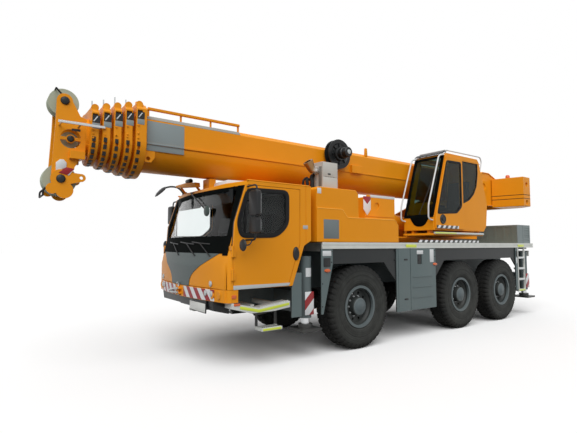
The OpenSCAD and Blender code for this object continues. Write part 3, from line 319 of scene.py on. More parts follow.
def tread_depth(turn, y, r):
    """How deep the moulded pattern lies under the full profile."""
    step = (turn * PITCHES) % 1.0
    shift = 0.0 if y > 0 else 0.5
    shoulder = (step + shift + abs(y) * 1.6) % 1.0
    centre = (step + shift + 0.35 - abs(y) * 3.0) % 1.0
    if r < 0.625:
        return 0.0
    if abs(y) > 0.09:
        return GROOVE if shoulder > 0.64 else 0.0
    if abs(y) > 0.074:
        return GROOVE * 0.9
    if abs(y) < 0.012 + 0.008 * math.sin(turn * PITCHES * 2 * math.pi):
        return GROOVE * 0.8
    return GROOVE * 0.75 if centre > 0.76 else 0.0


def tyre_point(u, v):
    """A point of the casing, with its grooves drawn in a little at the shoulder."""
    y, r = tyre_line[round(v * (len(tyre_line) - 1))]
    depth = tread_depth(u, y, r)
    if r < TYRE_R - 0.004 and depth:
        depth *= 0.75
        y -= math.copysign(0.006, y)
    angle = u * 2 * math.pi
    return ((r - depth) * math.cos(angle), y, (r - depth) * math.sin(angle))


tyre = laid_sheet("tyre_mould", PITCHES * STEPS_A_PITCH, len(tyre_line) - 1, tyre_point, closed=True)
with editing(tyre):
    bpy.ops.mesh.select_mode(type="EDGE")
    bpy.ops.mesh.select_all(action="DESELECT")
    bpy.ops.mesh.select_non_manifold()
    bpy.ops.mesh.bridge_edge_loops()
    bpy.ops.mesh.select_all(action="SELECT")
    bpy.ops.mesh.normals_make_consistent(inside=False)
bpy.ops.object.shade_smooth_by_angle(angle=math.radians(32))
wheel_place = tyre.data.attributes.new("wheel_place", "FLOAT_VECTOR", "POINT")
for i, point in enumerate(tyre.data.vertices):
    wheel_place.data[i].vector = point.co


def rubber_colour(tree):
    """Black tread, and a side wall that dust has greyed in rings."""
    at = tree.nodes.new("ShaderNodeAttribute")
    at.attribute_name = "wheel_place"
    flat = tree.nodes.new("ShaderNodeVectorMath")
    flat.operation = "MULTIPLY"
    tree.links.new(at.outputs["Vector"], flat.inputs[0])
    flat.inputs[1].default_value = (1, 0, 1)
    length = tree.nodes.new("ShaderNodeVectorMath")
    length.operation = "LENGTH"
    tree.links.new(flat.outputs["Vector"], length.inputs[0])
    radius = Field(tree, length.outputs["Value"])
    wall = ((0.66 - radius) * 9.0).clamped()
    rings = (radius * 190.0).sine() * 0.12 + 0.6
    dusty = (wall * rings * (cloud(tree, at.outputs["Vector"], 9.0, 8.0) + 0.15)).clamped()
    return blend_colour(tree, dusty, (0.010, 0.0105, 0.0105), (0.074, 0.078, 0.073))


rubber = finish("tyre_rubber", (0.02, 0.02, 0.02), 0.72, gloss=0.12, film=0.08, film_top=1.4, bump=0.25,
                colour_from=rubber_colour)
for wheel in wheel_names:
    cover = own_copy(tyre, "tyre_cover_" + wheel, wheel_centre[wheel])
    hold(cover, "wheel_" + wheel, "tyre", rubber, "tyre_" + wheel)
bpy.data.objects.remove(tyre)


# Rims: pressed steel discs painted grey, with hand holes, ten nuts and a turned hub cover.
# The nuts are hexagon bar with eased corners on washers, and the cover is a shallow turned cap.
def coated(finish_used, *nodes):
    """Gives CAD nodes that stay a better finish."""
    for name in nodes:
        part = frame["nodes"][name]
        if not part.material_slots:
            part.data.materials.append(finish_used)
        for place in part.material_slots:
            place.material = finish_used


def turned(name, line, centre, way, steps=32):
    """A line of (radius, height) turned about an axis through centre; way is the axis, as y or -y."""
    def point(u, v):
        r, h = line[round(v * (len(line) - 1))]
        a, b = r * math.cos(u * 2 * math.pi), r * math.sin(u * 2 * math.pi)
        h = -h if way.startswith("-") else h
        return Vector(centre) + Vector({"x": (h, a, b), "y": (a, h, b), "z": (a, b, h)}[way[-1]])
    return worked(laid_sheet(name, steps, len(line) - 1, point, closed=True), smooth=40)


LIP_R = 0.262
HUB_R = 0.137
LIP_OUT = 0.128


def rim_dish_shade_colour(tree):
    """Paint on the lip and the hub, and the dish between them darker, as painted shade in its recess."""
    x, y, z, where = place_of(tree)
    radius = 9.0
    for wheel in wheel_names[::2]:
        dx = x - wheel_centre[wheel].x
        dz = z - wheel_centre[wheel].z
        radius = x.math("MINIMUM", x.math("SQRT", dx * dx + dz * dz), radius)
    lip = (radius > LIP_R) * (abs(y) > wheel_centre["front_left"].y + LIP_OUT)
    # The dish's dark colour is painted shade, for the shadow that the lip casts into the recess; the lip and
    # the hub keep the grey paint.
    painted = x.math("MAXIMUM", lip, radius < HUB_R)
    return blend_colour(tree, painted, (0.024, 0.029, 0.029), (0.102, 0.126, 0.132))


rim_paint = finish("rim_paint", (0.080, 0.102, 0.109), 0.5, coat=0.04, film=0.18, film_top=1.4, bump=0.12,
                   colour_from=rim_dish_shade_colour)
cap_paint = finish("cap_paint", (0.088, 0.112, 0.120), 0.45, coat=0.04, film=0.18, film_top=1.4, bump=0.12)
nut_steel = finish("nut_steel", (0.55, 0.57, 0.58), 0.3, metallic=0.6, film=0.2, film_top=1.4, bump=0.05)
NUT_R = 0.162
NUTS = 10
nut_line = [(0.0, 0.0), (0.019, 0.0), (0.019, 0.004), (0.0145, 0.005), (0.0145, 0.021), (0.011, 0.025),
            (0.0, 0.027)]
nuts = []
for i in range(NUTS):
    turn = i * 2 * math.pi / NUTS
    nuts.append(turned("nut", nut_line, (NUT_R * math.cos(turn), 0.055, NUT_R * math.sin(turn)), "y", 6))
wheel_nuts = joined("wheel_nuts", nuts)
cap_line = [(0.0, 0.014), (0.062, 0.014), (0.067, 0.010), (0.088, 0.009), (0.094, 0.004), (0.118, 0.003),
            (0.121, -0.004), (0.0, -0.004)]
hub_cap = turned("hub_cap", cap_line, (0, 0.165, 0), "y", 48)
for wheel in wheel_names:
    right = wheel.endswith("right")
    body = "wheel_" + wheel
    coated(rim_paint, "rim_" + wheel)
    hold(own_copy(wheel_nuts, "nuts_" + wheel, wheel_centre[wheel], right), body, "rod_steel", nut_steel)
    hold(own_copy(hub_cap, "hub_cap_" + wheel, wheel_centre[wheel], right), body, "rim_grey", cap_paint)
bpy.data.objects.remove(wheel_nuts)
bpy.data.objects.remove(hub_cap)


# Axles and steering knuckles: forged steel under a thick coat of black, dirty from the road.
# They stay as the CAD has them, because nothing of them shows but their dull black.
dark_iron = finish("dark_iron", (0.016, 0.017, 0.018), 0.6, gloss=0.15, film=0.3, film_top=1.6, bump=0.2)
coated(dark_iron, "axles", *["knuckle_" + wheel for wheel in wheel_names])


# Frame, outrigger beams and jacks: welded grey box steel; the jack rods are hard chromed.
# A red and white plate hangs on each jack tube for the traffic to see, on two flat straps.
def plate(name, outline, face, level, thick, ease=0.0):
    """A flat plate cut to an outline of (u, v) on the plane face = level, thick to both sides together."""
    bpy.ops.object.select_all(action="DESELECT")
    bpy.ops.mesh.primitive_circle_add(vertices=len(outline), radius=1, fill_type="NGON")
    piece = bpy.context.object
    piece.name = name
    for point, (u, v) in zip(piece.data.vertices, outline):
        point.co = {"x": (level, u, v), "y": (u, level, v), "z": (u, v, level)}[face]
    return worked(piece, thick, ease)


def cut_corner(before, corner, after, radius, share, steps):
    """Points on a curve that rounds a corner, no further along its sides than their share."""
    before, corner, after = Vector(before), Vector(corner), Vector(after)
    reach = min(radius, (before - corner).length * share, (after - corner).length * share)
    start = corner + (before - corner).normalized() * reach
    end = corner + (after - corner).normalized() * reach
    shares = [s / steps for s in range(steps + 1)]
    return [start.lerp(corner, t).lerp(corner.lerp(end, t), t) for t in shares]


def eased(outline, radius, steps=4):
    """The outline with its corners rounded."""
    line = []
    for i, corner in enumerate(outline):
        after = outline[(i + 1) % len(outline)]
        line += [tuple(p) for p in cut_corner(outline[i - 1], corner, after, radius, 0.45, steps)]
    return line


def box_outline(u0, v0, u1, v1, radius=0.0):
    """A rectangle, with rounded corners if asked."""
    corners = [(u0, v0), (u1, v0), (u1, v1), (u0, v1)]
    return eased(corners, radius) if radius else corners


def stripe_colour(first, second, width, lean, axis):
    """Slanting stripes across a face whose long way is axis."""
    def colour(tree):
        x, y, z, where = place_of(tree)
        run = {"x": x, "y": y}[axis] + z * lean
        return blend_colour(tree, x.math("FRACT", (run + 60.0) / width) < 0.5, first, second)
    return colour


SIGN_RED = (0.29, 0.006, 0.013)
SIGN_WHITE = (0.72, 0.74, 0.75)
CHROME = (0.62, 0.64, 0.65)
FOOT_TOP = 0.502
frame_grey = finish("frame_grey", (0.095, 0.124, 0.129), 0.45, coat=0.05, film=0.2, film_top=1.6, bump=0.08)
rod_steel = finish("rod_steel", CHROME, 0.16, metallic=1.0, film=0.15, film_top=1.2, bump=0.01)


def jack_colour(tree):
    """Chrome above, and a dark cast foot below."""
    x, y, z, where = place_of(tree)
    foot_share = z < FOOT_TOP
    tree.links.new((1.0 - foot_share).socket, tree.nodes["Principled BSDF"].inputs["Metallic"])
    return blend_colour(tree, foot_share, CHROME, (0.030, 0.033, 0.034))


jack_steel = finish("jack_steel", CHROME, 0.3, film=0.25, film_top=1.2, bump=0.05, colour_from=jack_colour)
jack_stripes = finish("jack_stripes", SIGN_WHITE, 0.35, coat=0.1, film=0.3, film_top=1.4,
                      colour_from=stripe_colour(SIGN_RED, SIGN_WHITE, 0.30, 1.0, "x"))
coated(frame_grey, "chassis_frame")
JACK_X = {"front": 2.05, "rear": -5.005}
SIGN_Y = 1.186
TUBE_FRONT_Y = 1.17
for row, jack_x in JACK_X.items():
    for side, s in (("left", 1), ("right", -1)):
        corner = f"{row}_{side}"
        body = "beam_" + corner
        coated(frame_grey, body)
        coated(jack_steel, "jack_" + corner)
        board = box_outline(jack_x - 0.085, 0.64, jack_x + 0.085, 0.99, 0.012)
        sign = plate("jack_sign_" + corner, board, "y", s * SIGN_Y, 0.006, 0.001)
        hold(sign, body, "frame_grey", jack_stripes)
        straps = []
        for z in (0.72, 0.90):
            bar = box_outline(jack_x - 0.05, z - 0.015, jack_x + 0.05, z + 0.015)
            straps.append(plate("strap", bar, "y", s * (TUBE_FRONT_Y + SIGN_Y) / 2, 0.02, 0.002))
        hold(joined("jack_sign_straps_" + corner, straps), body, "frame_grey", frame_grey)


def label_point(u, v):
    """A point of the blank white label that wraps the front left jack tube."""
    turn = math.radians(58 + 64 * u)
    return (JACK_X["front"] + 0.0965 * math.cos(turn), 1.08 + 0.0965 * math.sin(turn), 1.215 + 0.135 * v)


label_white = finish("label_white", (0.66, 0.68, 0.69), 0.4, coat=0.05, film=0.2, film_top=2.0)
tube_label = worked(laid_sheet("jack_label", 10, 1, label_point), 0.002)
hold(tube_label, "beam_front_left", "frame_grey", label_white)


# Deck: extruded aluminium edge rails round a tread-plate deck, with bolted steps and ladders.
# Yellow reflecting tape is stuck to the rail, the steps and the lowest rung, and white to the other rungs.
def alloy_colour(tree):
    """Mill-finish alloy, duller where boots go; the struts of the lowest cab step are painted black, as
    painted shade under the step above.
    """
    x, y, z, where = place_of(tree)
    bright = blend_colour(tree, cloud(tree, where, 7.0, 8.0), (0.52, 0.54, 0.51), (0.70, 0.715, 0.68))
    # Painted shade: the near-black band on the struts between the cab steps stands for the shade under the
    # upper step.
    under_step_shade = (x > 2.3) * (abs(z - 0.662) < 0.109)
    return blend_colour(tree, under_step_shade, bright, (0.012, 0.013, 0.014))


def tread_bump(made, pitch):
    """Adds the raised tears of tread plate to a finish's bump."""
    tree = made.node_tree
    x, y, z, where = place_of(tree)
    tears = (((x + y) * pitch).sine() * ((x - y) * pitch).sine()).clamped()
    height = next(n for n in tree.nodes if n.bl_idname == "ShaderNodeBump").inputs["Height"]
    fine = Field(tree, height.links[0].from_socket)
    tree.links.new((tears + fine * 0.15).socket, height)


def softened(node, edge, finish_used, slot_name, even=False, room=2.4):
    """A copy of a CAD shell with its long corners eased, as bent and welded plate has, in the node's place.
    even keeps the easing's width along crowded corners; room is how long a corner's edges are in easings."""
    piece = bpy.data.objects.new(node + "_shell", frame["nodes"][node].data.copy())
    bpy.context.collection.objects.link(piece)
    with editing(piece):
        bpy.ops.mesh.remove_doubles(threshold=0.00005)
        bpy.ops.mesh.dissolve_limited(angle_limit=math.radians(0.1))
    mesh = piece.data
    sides = {}
    for face in mesh.polygons:
        for key in face.edge_keys:
            sides.setdefault(key, []).append(face.normal.copy())
    shortest = [9.0] * len(mesh.vertices)
    for line in mesh.edges:
        a, b = line.vertices
        length = (mesh.vertices[a].co - mesh.vertices[b].co).length
        for end in (a, b):
            shortest[end] = min(shortest[end], length)
    layer = "bevel_weight_edge"
    weights = mesh.attributes.get(layer) or mesh.attributes.new(layer, "FLOAT", "EDGE")
    for line in mesh.edges:
        a, b = line.vertices
        faces = sides.get(tuple(sorted((a, b))), [])
        sharp = len(faces) == 2 and faces[0].angle(faces[1], 0.0) > math.radians(30)
        roomy = min(shortest[a], shortest[b]) > room * edge
        weights.data[line.index].value = 1.0 if sharp and roomy else 0.0
    use_modifier(piece, "BEVEL", width=edge, segments=2, limit_method="WEIGHT", use_clamp_overlap=False,
                 offset_type="ABSOLUTE" if even else "OFFSET", loop_slide=False)
    pick(piece)
    bpy.ops.object.shade_smooth_by_angle(angle=math.radians(40))
    use_modifier(piece, "WEIGHTED_NORMAL", weight=100, keep_sharp=True)
    return hold(piece, frame["nodes"][node]["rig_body"], slot_name, finish_used, node)


def sticker(name, outline, level, face="y"):
    """Tape, film or a thin sheet laid on a face."""
    return plate(name, outline, face, level, 0.003, 0.0008)


def both_sides(piece, body, slot_name, finish_used):
    """The piece on the left and its twin on the right, with the side added to its name."""
    name = piece.name
    hold(own_copy(piece, name + "_right", mirror_y=True), body, slot_name, finish_used)
    piece.name = name + "_left"
    hold(piece, body, slot_name, finish_used)


alloy = finish("deck_alloy", (0.5, 0.52, 0.5), 0.42, metallic=0.2, film=0.2, film_top=2.2, bump=0.25,
               colour_from=alloy_colour)
tread_bump(alloy, 130.0)
softened("deck", 0.004, alloy, "aluminium")
reflecting = finish("reflecting_tape", (0.62, 0.72, 0.05), 0.3, coat=0.4, film=0.12, film_top=2.0, bump=0.05)
white_tape = finish("white_tape", (0.62, 0.65, 0.66), 0.3, coat=0.4, film=0.15, film_top=2.0, bump=0.05)
TAPE_Y = 1.251
rungs = [box_outline(-4.725, z + 0.004, -4.445, z + 0.041, 0.005) for z in (0.59, 0.85, 1.11, 1.37)]
bent_step = [(3.30, 0.840), (3.00, 0.772), (2.48, 0.830), (2.48, 0.868), (3.00, 0.812), (3.30, 0.882)]
low_step = box_outline(2.62, 0.507, 2.93, 0.538, 0.005)
rail_ends = [box_outline(x0, 1.655, x1, 1.712, 0.006) for x0, x1 in ((-0.50, -0.19), (-4.73, -4.43))]
for name, lines, tape in (("rail_tape", rail_ends + [rungs[0], bent_step, low_step], reflecting),
                          ("rung_tape", rungs[1:], white_tape)):
    tapes = [sticker("tape", line, s * TAPE_Y) for s in (1, -1) for line in lines]
    hold(joined(name, tapes), "carrier", "aluminium", tape)

# Teeth punched up along the edges of the cab steps, so that boots grip; the upper step's edge falls forwards.
STEP_REAR_X = 2.465
teeth = []
for step_top, fall, x0, count in ((0.545, 0.0, 2.615, 11), (0.890, 0.1142, 2.49, 16)):
    for i in range(count):
        x = x0 + i * 0.03
        top = step_top - (x - STEP_REAR_X) * fall
        tooth = [(x, top - 0.004), (x + 0.022, top - 0.004),
                 (x + 0.016, top + 0.016), (x + 0.006, top + 0.016)]
        teeth.append(plate("tooth", tooth, "y", 1.236, 0.02, 0.001))
both_sides(joined("step_teeth", teeth), "carrier", "aluminium", alloy)

# Hazard strips on the deck's edge beside the turntable: printed film, no words.
hazard = finish("hazard_film", SIGN_WHITE, 0.35, coat=0.3, film=0.2, film_top=2.4,
                colour_from=stripe_colour((0.02, 0.02, 0.02), SIGN_WHITE, 0.17, 0.8, "x"))
strip = plate("deck_hazard", box_outline(-2.75, 1.752, -0.62, 1.80, 0.006), "y", 1.205, 0.008, 0.0015)
both_sides(strip, "carrier", "aluminium", hazard)


# Side skirts: folded grey sheet hung under the rails, darker where the wheel arches are set back.
# Lock pockets, catches, marker lamps, screws and blank white labels are fitted to them.
def skirt_colour(tree):
    """Panel grey, and the darker grey of the set-back arch panels."""
    x, y, z, where = place_of(tree)
    return blend_colour(tree, abs(y) < 1.232, (0.104, 0.140, 0.143), (0.013, 0.016, 0.017))


def stretched(piece, centre, factors):
    """Draws a piece out about a centre, by a factor each way."""
    for point in piece.data.vertices:
        point.co = [c + (p - c) * f for p, c, f in zip(point.co, centre, factors)]
    return piece


skirt_paint = finish("skirt_paint", (0.1, 0.13, 0.13), 0.42, coat=0.06, film=0.18, film_top=1.5, bump=0.06,
                     colour_from=skirt_colour)
softened("side_skirts", 0.004, skirt_paint, "skirt_grey", even=True)
black_plastic = finish("black_plastic", (0.010, 0.011, 0.012), 0.42, gloss=0.3, film=0.06, film_top=1.6,
                       bump=0.15)
orange_lens = finish("orange_lens", (0.62, 0.10, 0.008), 0.2, coat=0.6, film=0.1, film_top=1.6, bump=0.1)
red_lens = finish("red_lens", (0.42, 0.012, 0.01), 0.2, coat=0.6, film=0.1, film_top=1.6, bump=0.1)
pockets = [plate(name, box_outline(*area), "y", level, thick, ease) for name, area, level, thick, ease in (
    ("pocket", (-0.655, 1.345, -0.535, 1.515, 0.02), 1.233, 0.003, 0.001),
    ("grip", (-0.64, 1.40, -0.55, 1.43, 0.012), 1.239, 0.008, 0.003),
    ("catch", (-0.235, 1.42, -0.135, 1.45, 0.008), 1.247, 0.008, 0.002),
    ("catch", (-0.235, 0.70, -0.135, 0.73, 0.008), 1.247, 0.008, 0.002),
    ("switch_box", (1.67, 1.36, 1.81, 1.50, 0.012), 1.248, 0.012, 0.003),
    ("switch_box", (-4.385, 1.43, -4.325, 1.56, 0.01), 1.248, 0.012, 0.003))]
both_sides(joined("skirt_fittings", pockets), "carrier", "black_plastic", black_plastic)
labels = [sticker("label", box_outline(*area, 0.006), 1.2465) for area in (
    (-0.70, 1.53, -0.51, 1.60), (-1.03, 1.37, -0.91, 1.62),
    (1.65, 1.53, 1.83, 1.61), (-4.38, 1.26, -4.33, 1.40))]
both_sides(joined("skirt_labels", labels), "carrier", "skirt_grey", label_white)
marker_line = [(0.0, 0.022), (0.025, 0.021), (0.040, 0.016), (0.045, 0.006), (0.045, -0.004), (0.0, -0.004)]
markers = []
for x, z in ((1.735, 1.30), (-1.065, 1.33)):
    centre = (x, 1.2455, z)
    markers.append(stretched(turned("marker", marker_line, centre, "y", 24), centre, (1.35, 1, 0.62)))
both_sides(joined("side_markers", markers), "carrier", "black_plastic", orange_lens)
screw_line = [(0, 0.006), (0.008, 0.006), (0.012, 0.001), (0.012, -0.02), (0, -0.02)]
screws = [turned("screw", screw_line, (x, 1.245, z), "y", 12) for x, z in (
    (1.64, 1.43), (1.64, 1.60), (0.10, 1.60), (0.10, 1.43),
    (-1.07, 1.60), (-1.07, 1.48), (1.835, 0.75), (1.835, 1.1))]
both_sides(joined("skirt_screws", screws), "carrier", "black_plastic", black_plastic)


# Rear lamps: domed lenses in the lamp bar's round cups, orange outside, red inside.
# One lens is turned for each cup on the left, and its twin serves the right.
lens_dome = [(0.0, 0.014), (0.020, 0.012), (0.034, 0.006), (0.041, -0.002), (0.041, -0.008), (0.0, -0.008)]
for lamp_y, lens, name in ((1.06, orange_lens, "turn"), (0.935, red_lens, "brake"), (0.81, red_lens, "tail")):
    dome = turned(f"rear_{name}_lens", lens_dome, (-5.240, lamp_y, 1.49), "-x", 28)
    both_sides(dome, "carrier", "black_plastic", lens)


# Engine housing: bent steel sheet over the engine in two steps, in the yellow of the whole machine.
# The yellow is a two-coat paint: an even colour with a clear coat that mirrors softly.
YELLOW = (0.80, 0.292, 0.006)


def yellow_finish(name, colour_from=None):
    """The machine's yellow, with other colours let in where colour_from says."""
    return finish(name, YELLOW, 0.42, coat=0.08, gloss=0.15, film=0.1, film_top=1.9, bump=0.03,
                  colour_from=colour_from)


yellow_paint = yellow_finish("yellow_paint")
# The bead's paint is a paler yellow than the housing: a painted highlight along the lower panel's top edge.
highlight_bead_paint = finish("highlight_bead_paint", (0.88, 0.40, 0.03), 0.35, coat=0.1, film=0.05, film_top=1.9, bump=0.02)
patch_grey = finish("patch_grey", (0.155, 0.183, 0.188), 0.45, coat=0.04, film=0.1, film_top=2.0, bump=0.03)
softened("engine_housing", 0.012, yellow_paint, "yellow_paint")
coated(dark_iron, "engine_block")
bare = sticker("housing_patch", box_outline(1.483, 1.803, 1.808, 2.107, 0.006), 1.2505)
both_sides(bare, "carrier", "yellow_paint", patch_grey)
lid_label = sticker("lid_label", box_outline(1.845, 2.51, 1.925, 2.60, 0.008), 1.2365)
both_sides(lid_label, "carrier", "yellow_paint", label_white)


def tube(name, points, radius, bend=0.05, sides=10):
    """A round bar bent along points, with its corners rounded and its ends closed."""
    line = [Vector(points[0])]
    for before, corner, after in zip(points, points[1:], points[2:]):
        line += cut_corner(before, corner, after, bend, 0.48, 5)
    line.append(Vector(points[-1]))
    curve = bpy.data.curves.new(name, "CURVE")
    curve.dimensions = "3D"
    curve.bevel_depth = radius
    curve.bevel_resolution = max(1, sides // 4)
    curve.use_fill_caps = True
    spline = curve.splines.new("POLY")
    spline.points.add(len(line) - 1)
    for knot, place in zip(spline.points, line):
        knot.co = (*place, 1.0)
    piece = bpy.data.objects.new(name, curve)
    bpy.context.collection.objects.link(piece)
    pick(piece)
    bpy.ops.object.convert(target="MESH")
    return worked(bpy.context.object, smooth=50)


# A yellow bead along the top edge of the proud lower panel, paler than the panel as a painted highlight.
bead_line = [(x, 1.2465, z) for x, z in (
    (1.938, 2.278), (1.40, 2.278), (1.288, 2.149), (0.10, 2.149), (0.012, 2.04))]
both_sides(tube("panel_bead", bead_line, 0.008, 0.03), "carrier", "yellow_paint", highlight_bead_paint)
ARROW_X = 0.395


def chevron_colour(tree):
    """A white arrowhead that points down, under red."""
    x, y, z, where = place_of(tree)
    return blend_colour(tree, z - abs(x - ARROW_X) * 0.95 > 2.455, SIGN_WHITE, SIGN_RED)


lip = plate("box_lip", box_outline(-0.387, 2.588, 0.300, 2.6375, 0.004), "y", 0.825, 0.036, 0.003)
both_sides(lip, "carrier", "aluminium", label_white)
arrow = [(0.30, 2.60), (0.30, 2.36), (ARROW_X, 2.25), (0.49, 2.36), (0.49, 2.60)]
chevron_film = finish("chevron_film", SIGN_WHITE, 0.35, coat=0.3, film=0.12, film_top=2.4,
                      colour_from=chevron_colour)
chevron = plate("chevron", arrow, "y", 0.846, 0.008, 0.0015)
both_sides(chevron, "carrier", "yellow_paint", chevron_film)


# Exhaust box: ribbed sheet steel in heat-proof grey, with a polished outlet that the heat has browned.
# Its edges are eased, and paler sheets, an end strip, a catch and three pipes are fitted to it.
def exhaust_colour(tree):
    """Grey box, bright outlet, brown at the mouth."""
    x, y, z, where = place_of(tree)
    pipe = x > 1.7055
    mouth = ((x - 1.775) * 14.0).clamped()
    tree.links.new(pipe.socket, tree.nodes["Principled BSDF"].inputs["Metallic"])
    return blend_colour(tree, pipe, (0.47, 0.455, 0.42),
                        blend_colour(tree, mouth, (0.66, 0.64, 0.61), (0.27, 0.155, 0.065)))


exhaust_finish = finish("exhaust_finish", (0.5, 0.5, 0.5), 0.34, film=0.1, film_top=2.5, bump=0.06,
                        colour_from=exhaust_colour)
softened("exhaust", 0.006, exhaust_finish, "exhaust_grey")
box_sheets = [sticker("exhaust_sheet", box_outline(1.385, z0, 1.697, z1, 0.004), 1.1115)
              for z0, z1 in ((2.625, 2.811), (2.819, 3.052))]
sheet_grey = finish("exhaust_sheet", (0.53, 0.51, 0.465), 0.4, gloss=0.3, film=0.1, film_top=2.5, bump=0.06)
hold(joined("exhaust_sheets", box_sheets), "carrier", "exhaust_grey", sheet_grey)
heat_grey = finish("heat_grey", (0.17, 0.168, 0.155), 0.5, film=0.15, film_top=2.6, bump=0.1)
end_strip = sticker("exhaust_end_strip", box_outline(1.012, 2.66, 1.090, 2.985, 0.008), 1.7065, "x")
hold(end_strip, "carrier", "exhaust_grey", heat_grey)
catch = plate("exhaust_catch", box_outline(1.535, 2.853, 1.592, 2.874, 0.005), "y", 1.116, 0.008, 0.002)
hold(catch, "carrier", "black_plastic", black_plastic)
pipes = [tube("exhaust_pipe", points, radius, bend) for points, radius, bend in (
    ([(1.775, 0.93, 2.60), (1.775, 0.93, 2.76), (1.745, 0.88, 2.84), (1.70, 0.88, 2.86)], 0.034, 0.06),
    ([(1.790, 0.83, 2.60), (1.790, 0.83, 2.72), (1.760, 0.76, 2.80), (1.60, 0.76, 2.82)], 0.026, 0.06),
    ([(1.805, 0.73, 2.60), (1.805, 0.73, 2.79), (1.72, 0.73, 2.84)], 0.020, 0.05))]
hold(joined("exhaust_pipes", pipes), "carrier", "dark_iron", dark_iron)


# Stowage boxes behind the turntable: zinc-grey perforated sheet on a frame.
# The holes are too small to model, so the finish carries them; the frames and slats are solid.
def mesh_colour(tree):
    """Sheet with rows of small punched holes in the front and back, paler and plain at the ends."""
    x, y, z, where = place_of(tree)
    holes = (y * 230.0).sine() * (z * 230.0).sine() > 0.25
    punched = blend_colour(tree, holes, (0.225, 0.258, 0.222), (0.03, 0.034, 0.034))
    return blend_colour(tree, abs(y) > 1.185, punched, (0.180, 0.216, 0.217))


box_finish = finish("box_mesh", (0.2, 0.22, 0.22), 0.45, metallic=0.3, film=0.15, film_top=2.4, bump=0.1,
                    colour_from=mesh_colour)
softened("deck_boxes", 0.005, box_finish, "box_grey")


# Driver's cab: pressed steel shell, painted outside and lined inside, with a bonded windscreen.
# The dark funnel panel and the black screen surround are separate mouldings on the bowed front.
CAB_BOW = 5.118
SCREEN_SLOPE = math.tan(math.radians(14.6))
SCREEN_COS = math.cos(math.radians(14.6))
LINING = (0.012, 0.014, 0.015)


def cab_front(y, z, out=0.0):
    """A point on the cab's bowed front: upright below, leaning back as the windscreen above."""
    bow = CAB_BOW - math.sqrt(CAB_BOW ** 2 - y * y)
    x = min(3.645 - bow, 3.595 - (z - 1.6) * SCREEN_SLOPE - bow / SCREEN_COS)
    return (x + out, y, z)


def along_line(line, t):
    """The value at t on a line of (t, value) steps."""
    for (t0, a), (t1, b) in zip(line, line[1:]):
        if t <= t1:
            return a + (b - a) * max(0.0, min(1.0, (t - t0) / (t1 - t0)))
    return line[-1][1]


def front_band(name, z0, z1, left_line, right_line, out, thick, across=24, rows=16):
    """A panel on the bowed front between two edges that are given as (z, y) steps."""
    def point(u, v):
        z = z0 + (z1 - z0) * v
        y = along_line(right_line, z) + (along_line(left_line, z) - along_line(right_line, z)) * u
        return cab_front(y, z, out)
    return worked(laid_sheet(name, across, rows, point), thick, smooth=40)


def cab_colour(tree):
    """Yellow outside, and the dark lining of the walls, the roof and the back inside."""
    x, y, z, where = place_of(tree)
    behind_screen = x + y * y * (0.5 / CAB_BOW) + z * SCREEN_SLOPE < 3.88
    inside = (abs(y) < 1.222) * (x > 2.10) * (z < 2.592) * behind_screen * (z > 1.13)
    return blend_colour(tree, inside, YELLOW, LINING)


softened("driver_cab", 0.012, yellow_finish("cab_paint", cab_colour), "yellow_paint", even=True, room=4.0)
funnel_edge = [(1.106, 0.32), (1.20, 0.345), (1.27, 0.40), (1.33, 0.49), (1.40, 0.62), (1.50, 0.83),
               (1.585, 1.02)]
far_edge = [(z, -y) for z, y in funnel_edge]
funnel = front_band("front_funnel", 1.106, 1.585, funnel_edge, far_edge, 0.003, 0.008)
funnel_grey = finish("funnel_grey", (0.078, 0.100, 0.099), 0.45, coat=0.05, film=0.08, bump=0.1)
hold(funnel, "carrier", "skirt_grey", funnel_grey)
surround = []
for s in (1, -1):
    inner = [(1.56, s * 1.085), (2.0, s * 1.085), (2.48, s * 1.062), (2.55, s * 1.06)]
    outer = [(1.56, s * 1.185), (2.55, s * 1.185)]
    surround.append(front_band("pillar_cover", 1.56, 2.535, outer, inner, 0.004, 0.010, 6, 14))
for z0, z1 in ((1.585, 1.825), (2.47, 2.53)):
    surround.append(front_band("screen_band", z0, z1, [(z0, 1.12)], [(z0, -1.12)], 0.004, 0.008, 28, 4))
screen_black = finish("screen_black", (0.003, 0.004, 0.004), 0.65, gloss=0.01, film=0.04, film_top=2.0,
                      bump=0.02)
hold(joined("screen_surround", surround), "carrier", "black_plastic", screen_black)


def glass_finish(name, tint):
    """Tinted safety glass, with a faint film in its roughness."""
    made = bpy.data.materials.new(name)
    made.use_nodes = True
    tree = made.node_tree
    shader = tree.nodes["Principled BSDF"]
    dial(shader, {"Transmission Weight": 1.0, "IOR": 1.22})
    x, y, z, where = place_of(tree)
    smear = cloud(tree, where, 3.0, 6.0)
    tree.links.new((smear * 0.03 + 0.015).socket, shader.inputs["Roughness"])
    dulled = tuple(c * 0.94 for c in tint)
    tree.links.new(blend_colour(tree, smear, tint, dulled), shader.inputs["Base Color"])
    return made


coated(glass_finish("screen_glass", (0.985, 0.995, 0.995)), "cab_glazing")
door_glass = glass_finish("door_glass", (0.90, 0.955, 0.95))
interior_black = finish("interior_black", (0.011, 0.013, 0.014), 0.65, gloss=0.15, film=0.05, bump=0.3)
coated(interior_black, "cab_interior")

# Three wipers rest along the lower edge of the screen: pressed arms with rubber blades.
wipers = []
for root_y, tip_y in ((-0.132, -0.513), (0.441, 0.084), (0.835, 0.516)):
    root = Vector(cab_front(root_y, 1.547, 0.018))
    tip = Vector(cab_front(tip_y, 1.727, 0.020))
    wipers.append(tube("wiper_arm", [root + Vector((-0.03, 0, 0)), root, tip], 0.009, 0.02))
    left_end = cab_front(tip_y + 0.26, 1.715, 0.016)
    right_end = cab_front(tip_y - 0.26, 1.748, 0.016)
    wipers.append(tube("wiper_blade", [left_end, tip + Vector((-0.006, 0, 0)), right_end], 0.009, 0.2))
hold(joined("wipers", wipers), "carrier", "black_plastic", black_plastic)

